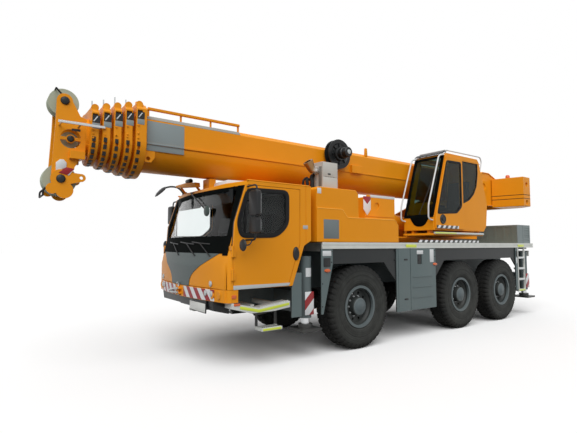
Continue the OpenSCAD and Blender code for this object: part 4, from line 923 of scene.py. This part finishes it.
# Inside: a padded roof console with two sun blinds hangs behind the top of the screen.
console = [plate("blind", box_outline(y0, 2.30, y0 + 0.94, 2.50, 0.03), "x", 3.285, 0.012, 0.004)
           for y0 in (-1.0, 0.06)]
bin_line = [(3.26, 2.54), (2.90, 2.54), (2.90, 2.47), (3.20, 2.43)]
console.append(plate("roof_bin", bin_line, "y", 0.0, 2.0, 0.01))
hold(joined("roof_console", console), "carrier", "interior_black", interior_black)

# A round mirror hangs before the screen on a thin bent arm from the roof's edge.
hang_points = [(3.335, -0.239, 2.556), (3.395, -0.225, 2.548), (3.455, 0.36, 2.285), (3.455, 0.44, 2.245)]
hang_arm = tube("screen_mirror_arm", hang_points, 0.011)
dish_line = [(0, 0.022), (0.045, 0.019), (0.072, 0.010), (0.080, -0.002), (0.076, -0.014), (0, -0.016)]
dish = turned("screen_mirror_dish", dish_line, (3.455, 0.505, 2.205), "x", 28)
mirror_back = finish("mirror_back", (0.050, 0.072, 0.066), 0.4, gloss=0.2, film=0.1, film_top=2.6)
hold(dish, "carrier", "black_plastic", mirror_back)
hold(hang_arm, "carrier", "black_plastic", black_plastic)

# Boom rest on the roof: a wedge of yellow plate on two posts with a black roller.
# A pale roof unit stands beside it.
REST_X = 3.325
wedge_line = [(-0.95, 2.715), (-0.10, 2.640), (-0.12, 2.715), (-0.52, 2.750), (-0.93, 2.752)]
wedge = plate("boom_rest_wedge", wedge_line, "x", REST_X, 0.09, 0.008)
posts = [tube("boom_rest_post", [(3.235, y, 2.595), (REST_X, y, 2.700)], 0.022) for y in (-0.80, -0.22)]
hold(joined("boom_rest", [wedge] + posts), "carrier", "yellow_paint", yellow_paint)
roller_line = [(0.0, 0.0), (0.030, 0.0), (0.040, 0.012), (0.040, 0.148), (0.030, 0.160), (0.0, 0.160)]
roller = turned("boom_rest_roller", roller_line, (REST_X, -0.535, 2.775), "y", 24)
hold(roller, "carrier", "black_plastic", black_plastic)
unit = plate("roof_unit", [(2.75, 2.600), (3.16, 2.600), (3.13, 2.700), (2.78, 2.712)], "y", 0.14, 0.80, 0.02)
hold(unit, "carrier", "aluminium", label_white)

# Sides and roof edge: a blank grey label behind each door, a yellow drip rail above it, the far-right
# front mirror on its arm, and the beacons' orange lenses here and on the tail.
boxed_grey = finish("boxed_grey", (0.40, 0.42, 0.42), 0.45, film=0.15, film_top=2.4, bump=0.05)
cab_label = sticker("cab_label", box_outline(2.128, 1.943, 2.222, 1.998, 0.006), 1.2505)
both_sides(cab_label, "carrier", "yellow_paint", boxed_grey)
drips = tube("drip_rail", [(2.10, 1.243, 2.602), (3.20, 1.243, 2.602)], 0.012)
both_sides(drips, "carrier", "yellow_paint", yellow_paint)
MIRROR_FOOT = (3.17, -1.0, 2.60)
MIRROR_X = 3.587
arm_points = [MIRROR_FOOT, (3.30, -0.98, 2.73), (3.44, -1.02, 2.745), (3.575, -1.08, 2.69)]
arm = tube("front_mirror_arm", arm_points, 0.016, 0.08)
foot_line = [(0, 0.06), (0.03, 0.06), (0.045, 0.04), (0.055, -0.01), (0, -0.01)]
foot = turned("front_mirror_foot", foot_line, MIRROR_FOOT, "z", 24)
head_line = [(0, 0.045), (0.05, 0.042), (0.095, 0.025), (0.115, 0.0), (0.112, -0.012), (0.10, -0.016),
             (0, -0.016)]
front_mirror = turned("front_mirror_head", head_line, (MIRROR_X, -1.09, 2.643), "z", 28)
for point in front_mirror.data.vertices:
    dx = point.co.x - MIRROR_X
    point.co.x = MIRROR_X + dx * 0.8
    point.co.z -= dx * 0.75
hold(joined("front_mirror", [arm, foot, front_mirror]), "carrier", "black_plastic", black_plastic)
beacon_line = [(0.052, 0.03), (0.056, 0.034), (0.055, 0.06), (0.053, 0.096), (0.036, 0.119), (0.020, 0.1225),
               (0.0, 0.1235)]
for name, spot, body in (("cab", (2.195, -0.5, 2.6), "carrier"),
                         ("tail", (-5.165, 0.7, 3.44), "superstructure")):
    hold(turned(name + "_beacon_lens", beacon_line, spot, "z", 32), body, "black_plastic", orange_lens)


# Doors: pressed steel with a tinted pane in a black rubber seal, a black handle and a silver sill strip.
# They hang at their front edge, and everything fitted to them swings with them.
def seal_ring(name, outline, level, outside, inside, thick, radius):
    """A rubber ring along a side window's edge, between an outer and an inner offset of its outline."""
    def grown(d):
        middle = Vector((sum(p[0] for p in outline), sum(p[1] for p in outline))) / len(outline)
        line = []
        for i, corner in enumerate(outline):
            a, b, c = Vector(outline[i - 1]), Vector(corner), Vector(outline[(i + 1) % len(outline)])
            u, w = (b - a).normalized(), (c - b).normalized()
            n, m = Vector((u.y, -u.x)), Vector((w.y, -w.x))
            if n.dot(b - middle) < 0:
                n, m = -n, -m
            line.append(tuple(b + (n + m) * (d / (1 + n.dot(m)))))
        return eased(line, radius + d, 6)
    outer, inner = grown(outside), grown(-inside)
    count = len(outer)

    def point(u, v):
        i = round(u * count) % count
        p = Vector(outer[i]).lerp(Vector(inner[i]), v)
        return (p.x, level + math.copysign(thick, level) * 0.5 * math.sin(v * math.pi), p.y)
    return worked(laid_sheet(name, count, 4, point, closed=True), thick, smooth=50), inner


def door_colour(tree):
    """Yellow outside, and the dark lining of the door inside."""
    x, y, z, where = place_of(tree)
    return blend_colour(tree, abs(y) < 1.226, YELLOW, LINING)


door_paint = yellow_finish("door_paint", door_colour)
rubber_black = finish("rubber_black", (0.007, 0.0075, 0.008), 0.55, gloss=0.15, film=0.08, film_top=2.0,
                      bump=0.1)
silver_trim = finish("silver_trim", (0.42, 0.45, 0.45), 0.35, metallic=0.6, film=0.2, film_top=2.0, bump=0.05)
mirror_glass = finish("mirror_glass", SIGN_WHITE, 0.05, metallic=1.0, film=0.05, film_top=1.0, bump=0.0)
door_window = [(2.705, 1.830), (3.295, 1.820), (3.345, 2.010), (3.195, 2.475), (2.505, 2.485), (2.505, 2.000)]
sill_line = [(2.485, 1.112), (3.405, 1.104), (3.405, 1.160), (2.465, 1.153)]
grip_line = [(0, 0.030), (0.030, 0.028), (0.050, 0.018), (0.058, 0.004), (0.058, -0.004), (0, -0.004)]
GRIP_X = 2.355
GRIP_Z = 1.575
for side, s in (("left", 1), ("right", -1)):
    body = "door_" + side
    softened(body, 0.006, door_paint, "yellow_paint")
    seal, inner = seal_ring("door_seal_" + side, door_window, s * 1.250, 0.022, 0.040, 0.012, 0.10)
    hold(seal, body, "black_plastic", rubber_black)
    pane = plate("door_pane_" + side, inner, "y", s * 1.236, 0.006)
    hold(stretched(pane, (2.92, 0, 2.15), (1.04, 1, 1.04)), body, "glass", door_glass)
    bar = plate("door_bar_" + side, box_outline(3.205, 1.83, 3.235, 2.44), "y", s * 1.243, 0.014, 0.004)
    hold(bar, body, "black_plastic", rubber_black)
    centre = (GRIP_X, s * 1.25, GRIP_Z)
    grip = turned("door_handle_" + side, grip_line, centre, "y" if s > 0 else "-y", 28)
    stretched(grip, centre, (1, 1, 1.75))
    for point in grip.data.vertices:
        hollow = abs(point.co.z - GRIP_Z) < 0.03 and abs(point.co.x - GRIP_X) < 0.02
        if hollow and abs(point.co.y) > 1.262:
            point.co.y -= s * 0.018
    hold(grip, body, "black_plastic", black_plastic)
    hold(plate("door_sill_" + side, sill_line, "y", s * 1.252, 0.006, 0.002), body, "aluminium", silver_trim)


# Mirrors: black moulded shells on a bent tube, two on each door, and a round kerb mirror below.
# The glass faces the driver, to the rear.
MIRROR_Y = 1.495
KERB_Y = 1.42
ball_line = [(0, 0.030), (0.04, 0.027), (0.07, 0.014), (0.082, -0.004), (0.076, -0.012), (0, -0.012)]
for side, s in (("left", 1), ("right", -1)):
    y = s * MIRROR_Y
    frame_points = [(3.195, s * 1.25, 2.51), (3.195, y, 2.51), (3.215, y, 1.77), (3.215, s * 1.25, 1.77)]
    kerb_points = [(3.215, s * KERB_Y, 1.77), (3.26, s * KERB_Y, 1.70), (3.35, s * KERB_Y, 1.70)]
    shells = [tube("mirror_tube", frame_points, 0.013, 0.06), tube("kerb_arm", kerb_points, 0.009, 0.03),
              turned("kerb_mirror", ball_line, (3.36, s * KERB_Y, 1.70), "x", 24)]
    panes = []
    for z0, z1 in ((2.090, 2.430), (1.860, 2.070)):
        casing = box_outline(y - 0.105, z0, y + 0.105, z1, 0.045)
        shells.append(worked(plate("mirror_shell", casing, "x", 3.225, 0.080, 0.022), smooth=60))
        glass = box_outline(y - 0.088, z0 + 0.017, y + 0.088, z1 - 0.017, 0.035)
        panes.append(plate("mirror_pane", glass, "x", 3.184, 0.004, 0.001))
    shell = joined("mirror_shells_" + side, shells)
    hold(shell, "door_" + side, "black_plastic", black_plastic, "mirror_" + side)
    hold(joined("mirror_panes_" + side, panes), "door_" + side, "glass", mirror_glass)


# Front bumper: yellow pressed steel with red and white stripes, round lamps, a tow jaw and a blank plate.
# The stripes are film on the bowed face; the lamps are glass over a bright dish.
softened("front_bumper", 0.005, yellow_paint, "yellow_paint", even=True)
bumper_stripes = finish("bumper_stripes", SIGN_WHITE, 0.35, coat=0.1, film=0.2, film_top=1.6,
                        colour_from=stripe_colour(SIGN_RED, SIGN_WHITE, 0.215, 0.85, "y"))
bands = [front_band("stripe_band", 0.938, 1.092, [(0.9, left)], [(0.9, right)], 0.002, 0.003, 20, 3)
         for left, right in ((0.985, 0.15), (-0.15, -0.985))]
hold(joined("bumper_stripe_film", bands), "carrier", "yellow_paint", bumper_stripes)
clear_lens = finish("clear_lens", (0.42, 0.44, 0.44), 0.2, metallic=0.4, coat=0.3, film=0.1, film_top=1.4,
                    bump=0.2)
lamp_line = [(0.0, 0.014), (0.018, 0.012), (0.030, 0.008), (0.033, 0.004), (0.036, 0.006), (0.040, 0.004),
             (0.041, -0.006), (0.0, -0.006)]
lamps = [turned("headlamp", lamp_line, cab_front(s * y, z, 0.008), "x", 32)
         for s in (1, -1) for y, z in ((0.925, 1.036), (0.787, 1.036), (0.904, 1.171))]
hold(joined("headlamps", lamps), "carrier", "aluminium", clear_lens)
lamp_areas = ((3.36, 0.985, 3.43, 1.035, 0.015), (3.30, 0.885, 3.395, 0.92, 0.012))
corner_lamps = [plate("corner_lamp", box_outline(*area), "y", s * 1.252, 0.012, 0.004)
                for area in lamp_areas for s in (1, -1)]
hold(joined("corner_lamps", corner_lamps), "carrier", "black_plastic", orange_lens)
plate_white = finish("plate_white", (0.68, 0.69, 0.66), 0.3, coat=0.3, film=0.15, film_top=1.4)
board = plate("number_plate", box_outline(0.27, 0.765, 0.79, 0.885, 0.012), "x", 3.592, 0.006, 0.0015)
hold(board, "carrier", "black_plastic", plate_white)
backing = [plate("plate_back", box_outline(0.255, 0.752, 0.805, 0.93, 0.01), "x", 3.582, 0.010, 0.002),
           plate("spoiler", [(3.30, 0.93), (3.56, 0.93), (3.54, 0.80), (3.30, 0.74)], "y", 0.0, 1.9, 0.01)]
hold(joined("under_spoiler", backing), "carrier", "black_plastic", black_plastic)
tow = [tube("tow_bar", [(3.638, -0.45, 0.985), (3.70, -0.10, 1.035), (3.702, 0.06, 1.05)], 0.014),
       tube("tow_bar", [(3.636, -0.42, 0.958), (3.70, -0.08, 0.985), (3.702, 0.06, 0.99)], 0.012),
       tube("tow_pin", [(3.66, 0.0, 0.94), (3.66, 0.0, 1.115), (3.69, 0.0, 1.13)], 0.016, 0.02)]
hold(joined("tow_fittings", tow), "carrier", "rod_steel", silver_trim)


# Turntable and counterweight: welded plate in the same yellow, with dark joints between the ballast slabs.
# The superstructure's edges are ground round before painting.
softened("turntable", 0.006, yellow_paint, "yellow_paint")
softened("counterweight", 0.012, yellow_paint, "yellow_paint")
ballast_line = [(-4.775, 0.46), (-4.935, 1.2), (-5.285, 1.2)]
seams = []
for z in (2.880, 2.975):
    seam = laid_sheet("ballast_seam", 2, 1, lambda u, v: (*ballast_line[round(u * 2)], z + 0.014 * v))
    seams.append(worked(seam, 0.003))
both_sides(joined("ballast_seams", seams), "superstructure", "black_plastic", rubber_black)
step_line = box_outline(-2.93, 1.925, -1.12, 1.965, 0.006)
platform_edge = plate("platform_step", step_line, "y", 1.215, 0.036, 0.004)
hold(platform_edge, "superstructure", "aluminium", alloy)
platform_tape = sticker("platform_tape", box_outline(-1.86, 1.932, -1.13, 1.958, 0.004), 1.2345)
hold(platform_tape, "superstructure", "aluminium", reflecting)

# Hoist winch: a grey drum wound with steel rope in close turns between its flanges.
coated(frame_grey, "winch")
ROPE_R = 0.009
DRUM_R = 0.132
TURNS = 34
turn_line = [(0.0, 0.0), (ROPE_R, 0.0045), (ROPE_R * 1.3, 0.009), (ROPE_R, 0.0135)]
rope_line = [(0.128, -0.312)]
rope_line += [(DRUM_R + r, -0.306 + i * 0.018 + y) for i in range(TURNS) for r, y in turn_line]
rope_line += [(DRUM_R, 0.306), (0.128, 0.309)]
rope_steel = finish("rope_steel", (0.16, 0.16, 0.155), 0.5, metallic=0.8, film=0.3, film_top=4.0, bump=0.4)
hold(turned("winch_rope", rope_line, (-5.12, 0, 3.23), "y", 48), "superstructure", "rod_steel", rope_steel)

# Luffing cylinder: a painted barrel with a chromed rod, its eye and gland machined.
softened("luff_barrel", 0.006, yellow_paint, "yellow_paint")
coated(rod_steel, "luff_rod")


# Boom: six nested tubes of bent plate, each welded along its side seam, with cast collars at the front.
# Slide pads of black plastic sit in the collars' pockets, set close so that their black is also painted shade
# in the gap between collars, and white arrows mark the windows.
softened("boom_base", 0.006, yellow_paint, "yellow_paint", even=True)
boom_grey = finish("boom_grey", (0.240, 0.283, 0.290), 0.45, coat=0.04, film=0.1, film_top=2.0, bump=0.03)
patches = [sticker("boom_patch", box_outline(3.76, 3.03, 4.31, 3.455, 0.006), 0.3615),
           sticker("boom_seam_patch", box_outline(3.76, 3.118, 4.31, 3.142), 0.3755)]
both_sides(joined("boom_patch", patches), "boom_base", "yellow_paint", boom_grey)
walk_strip = plate("walk_strip", box_outline(2.80, 0.0, 4.33, 0.086), "z", 0.0, 0.004, 0.001)
HALF_ROOT = 0.7071
for point in walk_strip.data.vertices:
    v, w = point.co.y, point.co.z
    point.co.y = 0.356 - v * HALF_ROOT + w * HALF_ROOT
    point.co.z = 3.478 + v * HALF_ROOT + w * HALF_ROOT
lug_line = [(-0.175, 3.50), (-0.095, 3.50), (-0.105, 3.660), (-0.135, 3.672), (-0.165, 3.660)]
hold(plate("boom_lug", lug_line, "y", 0.33, 0.03, 0.006), "boom_base", "yellow_paint", yellow_paint)
grip_grey = finish("grip_strip", (0.30, 0.30, 0.275), 0.75, film=0.15, film_top=5.0, bump=0.6)
hold(walk_strip, "boom_base", "aluminium", grip_grey)

# Collars from the outermost in: half width and top shrink by one pitch a section.
PITCH = 0.030
BELLY_Z = 3.130
GUIDE_TOPS = (0.0, 0.075, 0.120, 0.095, 0.090)
bolt_line = [(0, 0.012), (0.010, 0.012), (0.014, 0.007), (0.014, -0.004), (0, -0.004)]
for i in range(5):
    body = f"boom_section_{i}" if i else "boom_base"
    if i:
        softened(body, 0.004, yellow_paint, "yellow_paint", even=True)
    front = 4.485 + 0.136 * i
    half = 0.465 - PITCH * i
    top = 3.645 - PITCH * i
    pads = []
    # The pads stand close, every 14° round the belly at each collar's front; their black is also painted
    # shade for the gap between collars.
    for angle in range(-84, 85, 14):
        c, n = math.cos(math.radians(angle)), math.sin(math.radians(angle))
        pocket = box_outline(front - 0.056, -0.030, front - 0.012, 0.030, 0.004)
        pad = plate("slide_pad", pocket, "z", -(half + 0.001), 0.010, 0.003)
        for point in pad.data.vertices:
            y, z = point.co.y, point.co.z
            point.co.y = y * c - z * n
            point.co.z = BELLY_Z + y * n + z * c
        pads.append(pad)
    bend = [(half + 0.002, top - 0.215), (half + 0.002, top - 0.1195), (half - 0.044, top - 0.0735)]
    bar = [(front - 0.018, top - 0.196), (front - 0.030, top - 0.203), (front - 0.078, top - 0.132),
           (front - 0.066, top - 0.125)]
    field = box_outline(front - 0.105, top - 0.292, front - 0.008, top - 0.218, 0.004)
    marks = []
    greys = []
    bolts = []
    for s in (1, -1):
        window = laid_sheet("window_plate", 1, 2, lambda u, v: (
            front - 0.105 + 0.097 * u, s * bend[round(v * 2)][0], bend[round(v * 2)][1]))
        pads.append(worked(window, 0.003))
        marks.append(sticker("arrow_mark", bar, s * (half + 0.0045)))
        greys.append(sticker("grey_mark", field, s * (half + 0.0005)))
        for y, z in ((half - 0.06, top - 0.06), (half, top - 0.31), (half, top - 0.42), (half, 3.16)):
            bolts.append(turned("bolt", bolt_line, (front - 0.024, s * y, z), "y" if s > 0 else "-y", 6))
    hold(joined(f"slide_pads_{i}", pads), body, "black_plastic", black_plastic)
    hold(joined(f"window_marks_{i}", marks), body, "aluminium", white_tape)
    hold(joined(f"collar_greys_{i}", greys), body, "yellow_paint", boom_grey)
    hold(joined(f"collar_bolts_{i}", bolts), body, "yellow_paint", yellow_paint)
    if i:
        rod = [(front - 0.012, half - 0.075, z) for z in (top - 0.01, top + GUIDE_TOPS[i])]
        hold(tube(f"rope_guide_{i}", rod, 0.008), body, "rod_steel", silver_trim)


def head_pair(name, outline, level, thick, ease=0.0):
    """A plate on each side of the boom, as one piece."""
    return joined(name, [plate(name, outline, "y", s * level, thick, ease) for s in (1, -1)])


brow_line = [(4.30, 3.53), (4.47, 3.53), (4.47, 3.70), (4.40, 3.70), (4.30, 3.62)]
hold(head_pair("collar_brows", brow_line, 0.33, 0.05, 0.008), "boom_base", "yellow_paint", yellow_paint)

# Boom head: plates and castings, nylon sheaves on pins with black caps, and a silver pole along its side.
softened("boom_section_5", 0.005, yellow_paint, "yellow_paint", even=True)
nylon = finish("nylon", (0.40, 0.44, 0.335), 0.5, coat=0.1, film=0.2, film_top=5.0, bump=0.1)
coated(nylon, "head_sheaves")
pin_line = [(0, 0.030), (0.035, 0.028), (0.050, 0.018), (0.055, 0.002), (0.055, -0.003), (0, -0.003)]
caps = []
for s in (1, -1):
    for x, y, z, share in ((5.345, 0.215, 2.55, 1.0), (5.325, 0.19, 3.58, 1.0), (5.245, 0.19, 3.087, 0.8)):
        line = [(r * share, h) for r, h in pin_line]
        caps.append(turned("pin_cap", line, (x, s * y, z), "y" if s > 0 else "-y", 28))
hold(joined("pin_caps", caps), "boom_section_5", "black_plastic", black_plastic)
nose_line = [(5.404, 2.632), (5.407, 2.755), (5.36, 2.802), (5.318, 2.802), (5.284, 2.765), (5.284, 2.705)]
hold(head_pair("nose_plates", nose_line, 0.196, 0.012, 0.003), "boom_section_5", "aluminium", label_white)


def nose_colour(tree):
    """Red, with one white end."""
    x, y, z, where = place_of(tree)
    return blend_colour(tree, x + z * 0.94 > 7.717, SIGN_WHITE, SIGN_RED)


nose_red = finish("nose_stripe", SIGN_RED, 0.35, coat=0.1, film=0.1, film_top=4.0, colour_from=nose_colour)
band_line = [(5.375, 2.625), (5.288, 2.702), (5.19, 2.690), (5.255, 2.597)]
hold(head_pair("nose_bands", band_line, 0.218, 0.006, 0.0015), "boom_section_5", "aluminium", nose_red)
pole = [tube("head_pole", [(4.875, 0.40, 3.249), (5.42, 0.40, 3.246)], 0.019, sides=16)]
pole += [tube("pole_clip", [(x, 0.185, 3.247), (x, 0.40, 3.248)], 0.012) for x in (5.16, 5.38)]
pole_steel = finish("pole_steel", (0.50, 0.51, 0.51), 0.22, metallic=1.0, film=0.1, film_top=1.2, bump=0.01)
hold(joined("head_pole", pole), "boom_section_5", "rod_steel", pole_steel)
# Painted shade: thin black plates on each side of the head stand for the shaded slot under the pole.
slot_shade_line = box_outline(5.132, 3.196, 5.237, 3.226, 0.008)
hold(head_pair("head_slot_shade", slot_shade_line, 0.1915, 0.003), "boom_section_5", "black_plastic", black_plastic)
KEEPER_Y = 0.17
keepers = []
for s in (1, -1):
    y = s * KEEPER_Y
    keepers.append(tube("rope_keeper", [(5.49, y, 2.44), (5.535, y, 2.40), (5.535, y, 2.33)], 0.012))
    keepers.append(tube("rope_keeper", [(5.36, y, 3.66), (5.43, y, 3.735)], 0.012))
for x, z, radius in ((5.535, 2.33, 0.012), (5.43, 3.735, 0.010)):
    keepers.append(tube("rope_keeper", [(x, -KEEPER_Y, z), (x, KEEPER_Y, z)], radius))
hold(joined("rope_keepers", keepers), "boom_section_5", "frame_grey", dark_iron)

# Cable drum on the boom's flank: moulded black wheel with pressed ribs, a stepped hub and a bright cap.
DRUM_X = 0.775
DRUM_Z = 3.40
drum_black = finish("drum_black", (0.008, 0.009, 0.010), 0.3, coat=0.08, film=0.08, film_top=4.0, bump=0.08)
coated(drum_black, "cable_drum")
rib_line = box_outline(0.135, -0.012, 0.195, 0.012)
ribs = []
for i in range(8):
    c, n = math.cos(i * math.pi / 4), math.sin(i * math.pi / 4)
    line = [(DRUM_X + r * c - w * n, DRUM_Z + r * n + w * c) for r, w in rib_line]
    ribs.append(plate("drum_rib", line, "y", 0.525, 0.022, 0.004))
hold(joined("drum_ribs", ribs), "boom_base", "black_plastic", drum_black)
motor_line = [(0.0, 0.0), (0.105, 0.0), (0.105, 0.060), (0.092, 0.075), (0.092, 0.165), (0.078, 0.180),
              (0.0, 0.180)]
motor = turned("drum_motor", motor_line, (DRUM_X, 0.60, DRUM_Z), "y", 40)
hold(motor, "boom_base", "black_plastic", drum_black)
hub_line = [(0, 0.012), (0.030, 0.011), (0.040, 0.006), (0.044, -0.004), (0, -0.004)]
hold(turned("drum_cap", hub_line, (DRUM_X, 0.78, DRUM_Z), "y", 28), "boom_base", "aluminium", silver_trim)


# Crane cab: a yellow shell with a tall front screen, black seals, white grab rails and a roof rail.
# The sliding door on its left side carries its own pane, seal and round black lock.
softened("crane_cab", 0.008, yellow_paint, "yellow_paint")
crane_glass = glass_finish("crane_glass", (0.25, 0.36, 0.35))
coated(crane_glass, "crane_cab_glazing")
coated(interior_black, "crane_cab_interior")
softened("crane_door", 0.005, yellow_paint, "yellow_paint")
crane_door_window = [(-2.08, 2.52), (-1.90, 2.38), (-1.23, 2.34), (-1.575, 3.44), (-2.08, 3.45)]
seal, inner = seal_ring("crane_door_seal", crane_door_window, 1.230, 0.016, 0.026, 0.008, 0.05)
hold(seal, "crane_door", "black_plastic", rubber_black)
pane = stretched(plate("crane_door_pane", inner, "y", 1.222, 0.006), (-1.75, 0, 2.9), (1.05, 1, 1.03))
hold(pane, "crane_door", "glass", crane_glass)
lock_line = [(0, 0.020), (0.035, 0.018), (0.040, 0.006), (0.070, 0.006), (0.085, 0.014), (0.098, 0.004),
             (0.100, -0.003), (0, -0.003)]
lock = turned("crane_door_lock", lock_line, (-1.395, 1.235, 2.225), "y", 32)
hold(lock, "crane_door", "black_plastic", black_plastic)
door_strip = sticker("crane_door_strip", box_outline(-1.95, 2.04, -1.18, 2.10, 0.006), 1.2362)
hold(door_strip, "crane_door", "yellow_paint", hazard)


def crane_front(y, z, out=0.0):
    """A point on the crane cab's front: upright below, leaning back above."""
    return (-1.135 - max(0.0, z - 2.26) * 0.3244 + out, y, z)


def screen_seal(y0, y1, z0, z1, across, rows):
    """A strip of the black edge printed round the front screen."""
    def point(u, v):
        return crane_front(y0 + (y1 - y0) * u, z0 + (z1 - z0) * v, 0.003)
    return worked(laid_sheet("front_seal", across, rows, point), 0.008)


edge = [screen_seal(y0, y1, 2.30, 3.55, 3, 14) for y0, y1 in ((0.467, 0.535), (1.125, 1.193))]
edge += [screen_seal(0.47, 1.19, z0, z1, 12, 2) for z0, z1 in ((2.26, 2.32), (3.51, 3.56))]
foot_line = eased([(0.62, 2.27), (0.72, 2.12), (0.80, 2.08), (0.92, 2.08), (1.0, 2.12), (1.10, 2.27)], 0.04)
edge.append(plate("screen_foot", foot_line, "x", -1.132, 0.008, 0.001))
hold(joined("crane_screen_seal", edge), "crane_cab", "black_plastic", screen_black)
rear_edge = [(-2.80, 3.52), (-2.80, 3.30), (-2.74, 3.00), (-2.62, 2.82), (-2.45, 2.69), (-2.20, 2.60),
             (-2.20, 3.52)]
seal = seal_ring("crane_rear_seal", rear_edge, 1.191, 0.014, 0.022, 0.006, 0.03)[0]
hold(seal, "crane_cab", "black_plastic", rubber_black)
RAIL_X = -1.66
rail_white = finish("rail_white", (0.66, 0.68, 0.68), 0.3, coat=0.4, film=0.1, film_top=4.0, bump=0.02)
rails = []
for y in (0.50, 1.17):
    upper_end = (crane_front(y, 3.55, -0.02)[0], y, 3.58)
    points = [crane_front(y, 2.20), (-1.00, y, 2.22), (-1.01, y, 2.50), (-1.40, y, 3.55), upper_end]
    rails.append(tube("grab_rail", points, 0.016, 0.07))
for y, points in (
        (1.15, [(RAIL_X, 3.615), (RAIL_X, 3.69), (-3.00, 3.70), (-3.06, 3.60), (-2.95, 3.30)]),
        (0.52, [(RAIL_X, 3.615), (RAIL_X, 3.69), (-2.80, 3.69), (-2.80, 3.615)])):
    rails.append(tube("roof_rail", [(x, y, z) for x, z in points], 0.014, 0.06))
rails.append(tube("roof_rail", [(RAIL_X, 0.52, 3.69), (RAIL_X, 1.15, 3.69)], 0.012))
hold(joined("crane_cab_rails", rails), "crane_cab", "aluminium", rail_white)
blade = [tube("crane_wiper", [crane_front(0.86, 2.34, 0.03), crane_front(1.0, 2.9, 0.03)], 0.009),
         tube("crane_blade", [crane_front(0.92, 2.62, 0.02), crane_front(1.06, 3.25, 0.02)], 0.011),
         tube("crane_wiper_foot", [crane_front(0.86, 2.33), crane_front(0.86, 2.34, 0.03)], 0.016)]
hold(joined("crane_wiper", blade), "crane_cab", "black_plastic", black_plastic)
visor = laid_sheet("crane_visor", 10, 6, lambda u, v: (
    -1.52 - 0.16 * v, 0.48 + 0.70 * u, 3.60 + 0.07 * math.sin(v * 1.6)))
hold(worked(visor, 0.012, 0.004), "crane_cab", "black_plastic", black_plastic)


# Studio: a wide pale floor, even sky light and one soft lamp high on the camera's side.
# The floor and the sky are white where the camera, mirrors and glass see them, and duller for stray light.
def seen_share(tree):
    """1 for what the camera, a mirror or a pane looks at."""
    path = tree.nodes.new("ShaderNodeLightPath").outputs
    seen = Field(tree, path["Is Camera Ray"])
    for ray in ("Is Glossy Ray", "Is Transmission Ray"):
        seen = seen.math("MAXIMUM", seen, Field(tree, path[ray]))
    return seen


bpy.ops.object.select_all(action="DESELECT")
bpy.ops.mesh.primitive_circle_add(vertices=96, radius=90, fill_type="NGON", location=(0, 0, -0.001))
floor = bpy.context.object
floor.name = "studio_floor"
bpy.ops.object.transform_apply(location=True, rotation=True, scale=True)
floor_finish = bpy.data.materials.new("studio_floor")
floor_finish.use_nodes = True
tree = floor_finish.node_tree
tree.nodes.remove(tree.nodes["Principled BSDF"])
either = tree.nodes.new("ShaderNodeMixShader")
tree.links.new(seen_share(tree).socket, either.inputs[0])
for entry, grey in ((1, 0.09), (2, 0.92)):
    shade = tree.nodes.new("ShaderNodeBsdfDiffuse")
    dial(shade, {"Color": (grey, grey, grey, 1)})
    tree.links.new(shade.outputs[0], either.inputs[entry])
tree.links.new(either.outputs[0], tree.nodes["Material Output"].inputs["Surface"])
floor.data.materials.append(floor_finish)

SKY_LIGHT = 0.55
world = bpy.data.worlds.new("studio_sky")
bpy.context.scene.world = world
world.use_nodes = True
tree = world.node_tree
sky = tree.nodes["Background"]
dial(sky, {"Color": (1, 1, 1, 1)})
tree.links.new((seen_share(tree) * (1.0 - SKY_LIGHT) + SKY_LIGHT).socket, sky.inputs["Strength"])
lamp = bpy.data.lights.new("soft_lamp", "SUN")
lamp.energy = 2.5
lamp.angle = math.radians(60)
lamp_place = bpy.data.objects.new("soft_lamp", lamp)
bpy.context.collection.objects.link(lamp_place)
lamp_place.rotation_euler = Vector((-0.50, -0.60, -0.88)).to_track_quat("-Z", "Y").to_euler()

camera = bpy.data.cameras.new("photo_camera")
camera.sensor_width = 36.0
camera.lens = 26.45
camera.clip_end = 500
camera_place = bpy.data.objects.new("photo_camera", camera)
bpy.context.collection.objects.link(camera_place)
camera_place.location = (6.185, 6.271, 1.701)
camera_place.rotation_euler = (math.radians(90 + 3.856), 0, math.radians(-126.327 - 90))
bpy.context.scene.camera = camera_place
bpy.context.scene.view_settings.view_transform = "Standard"
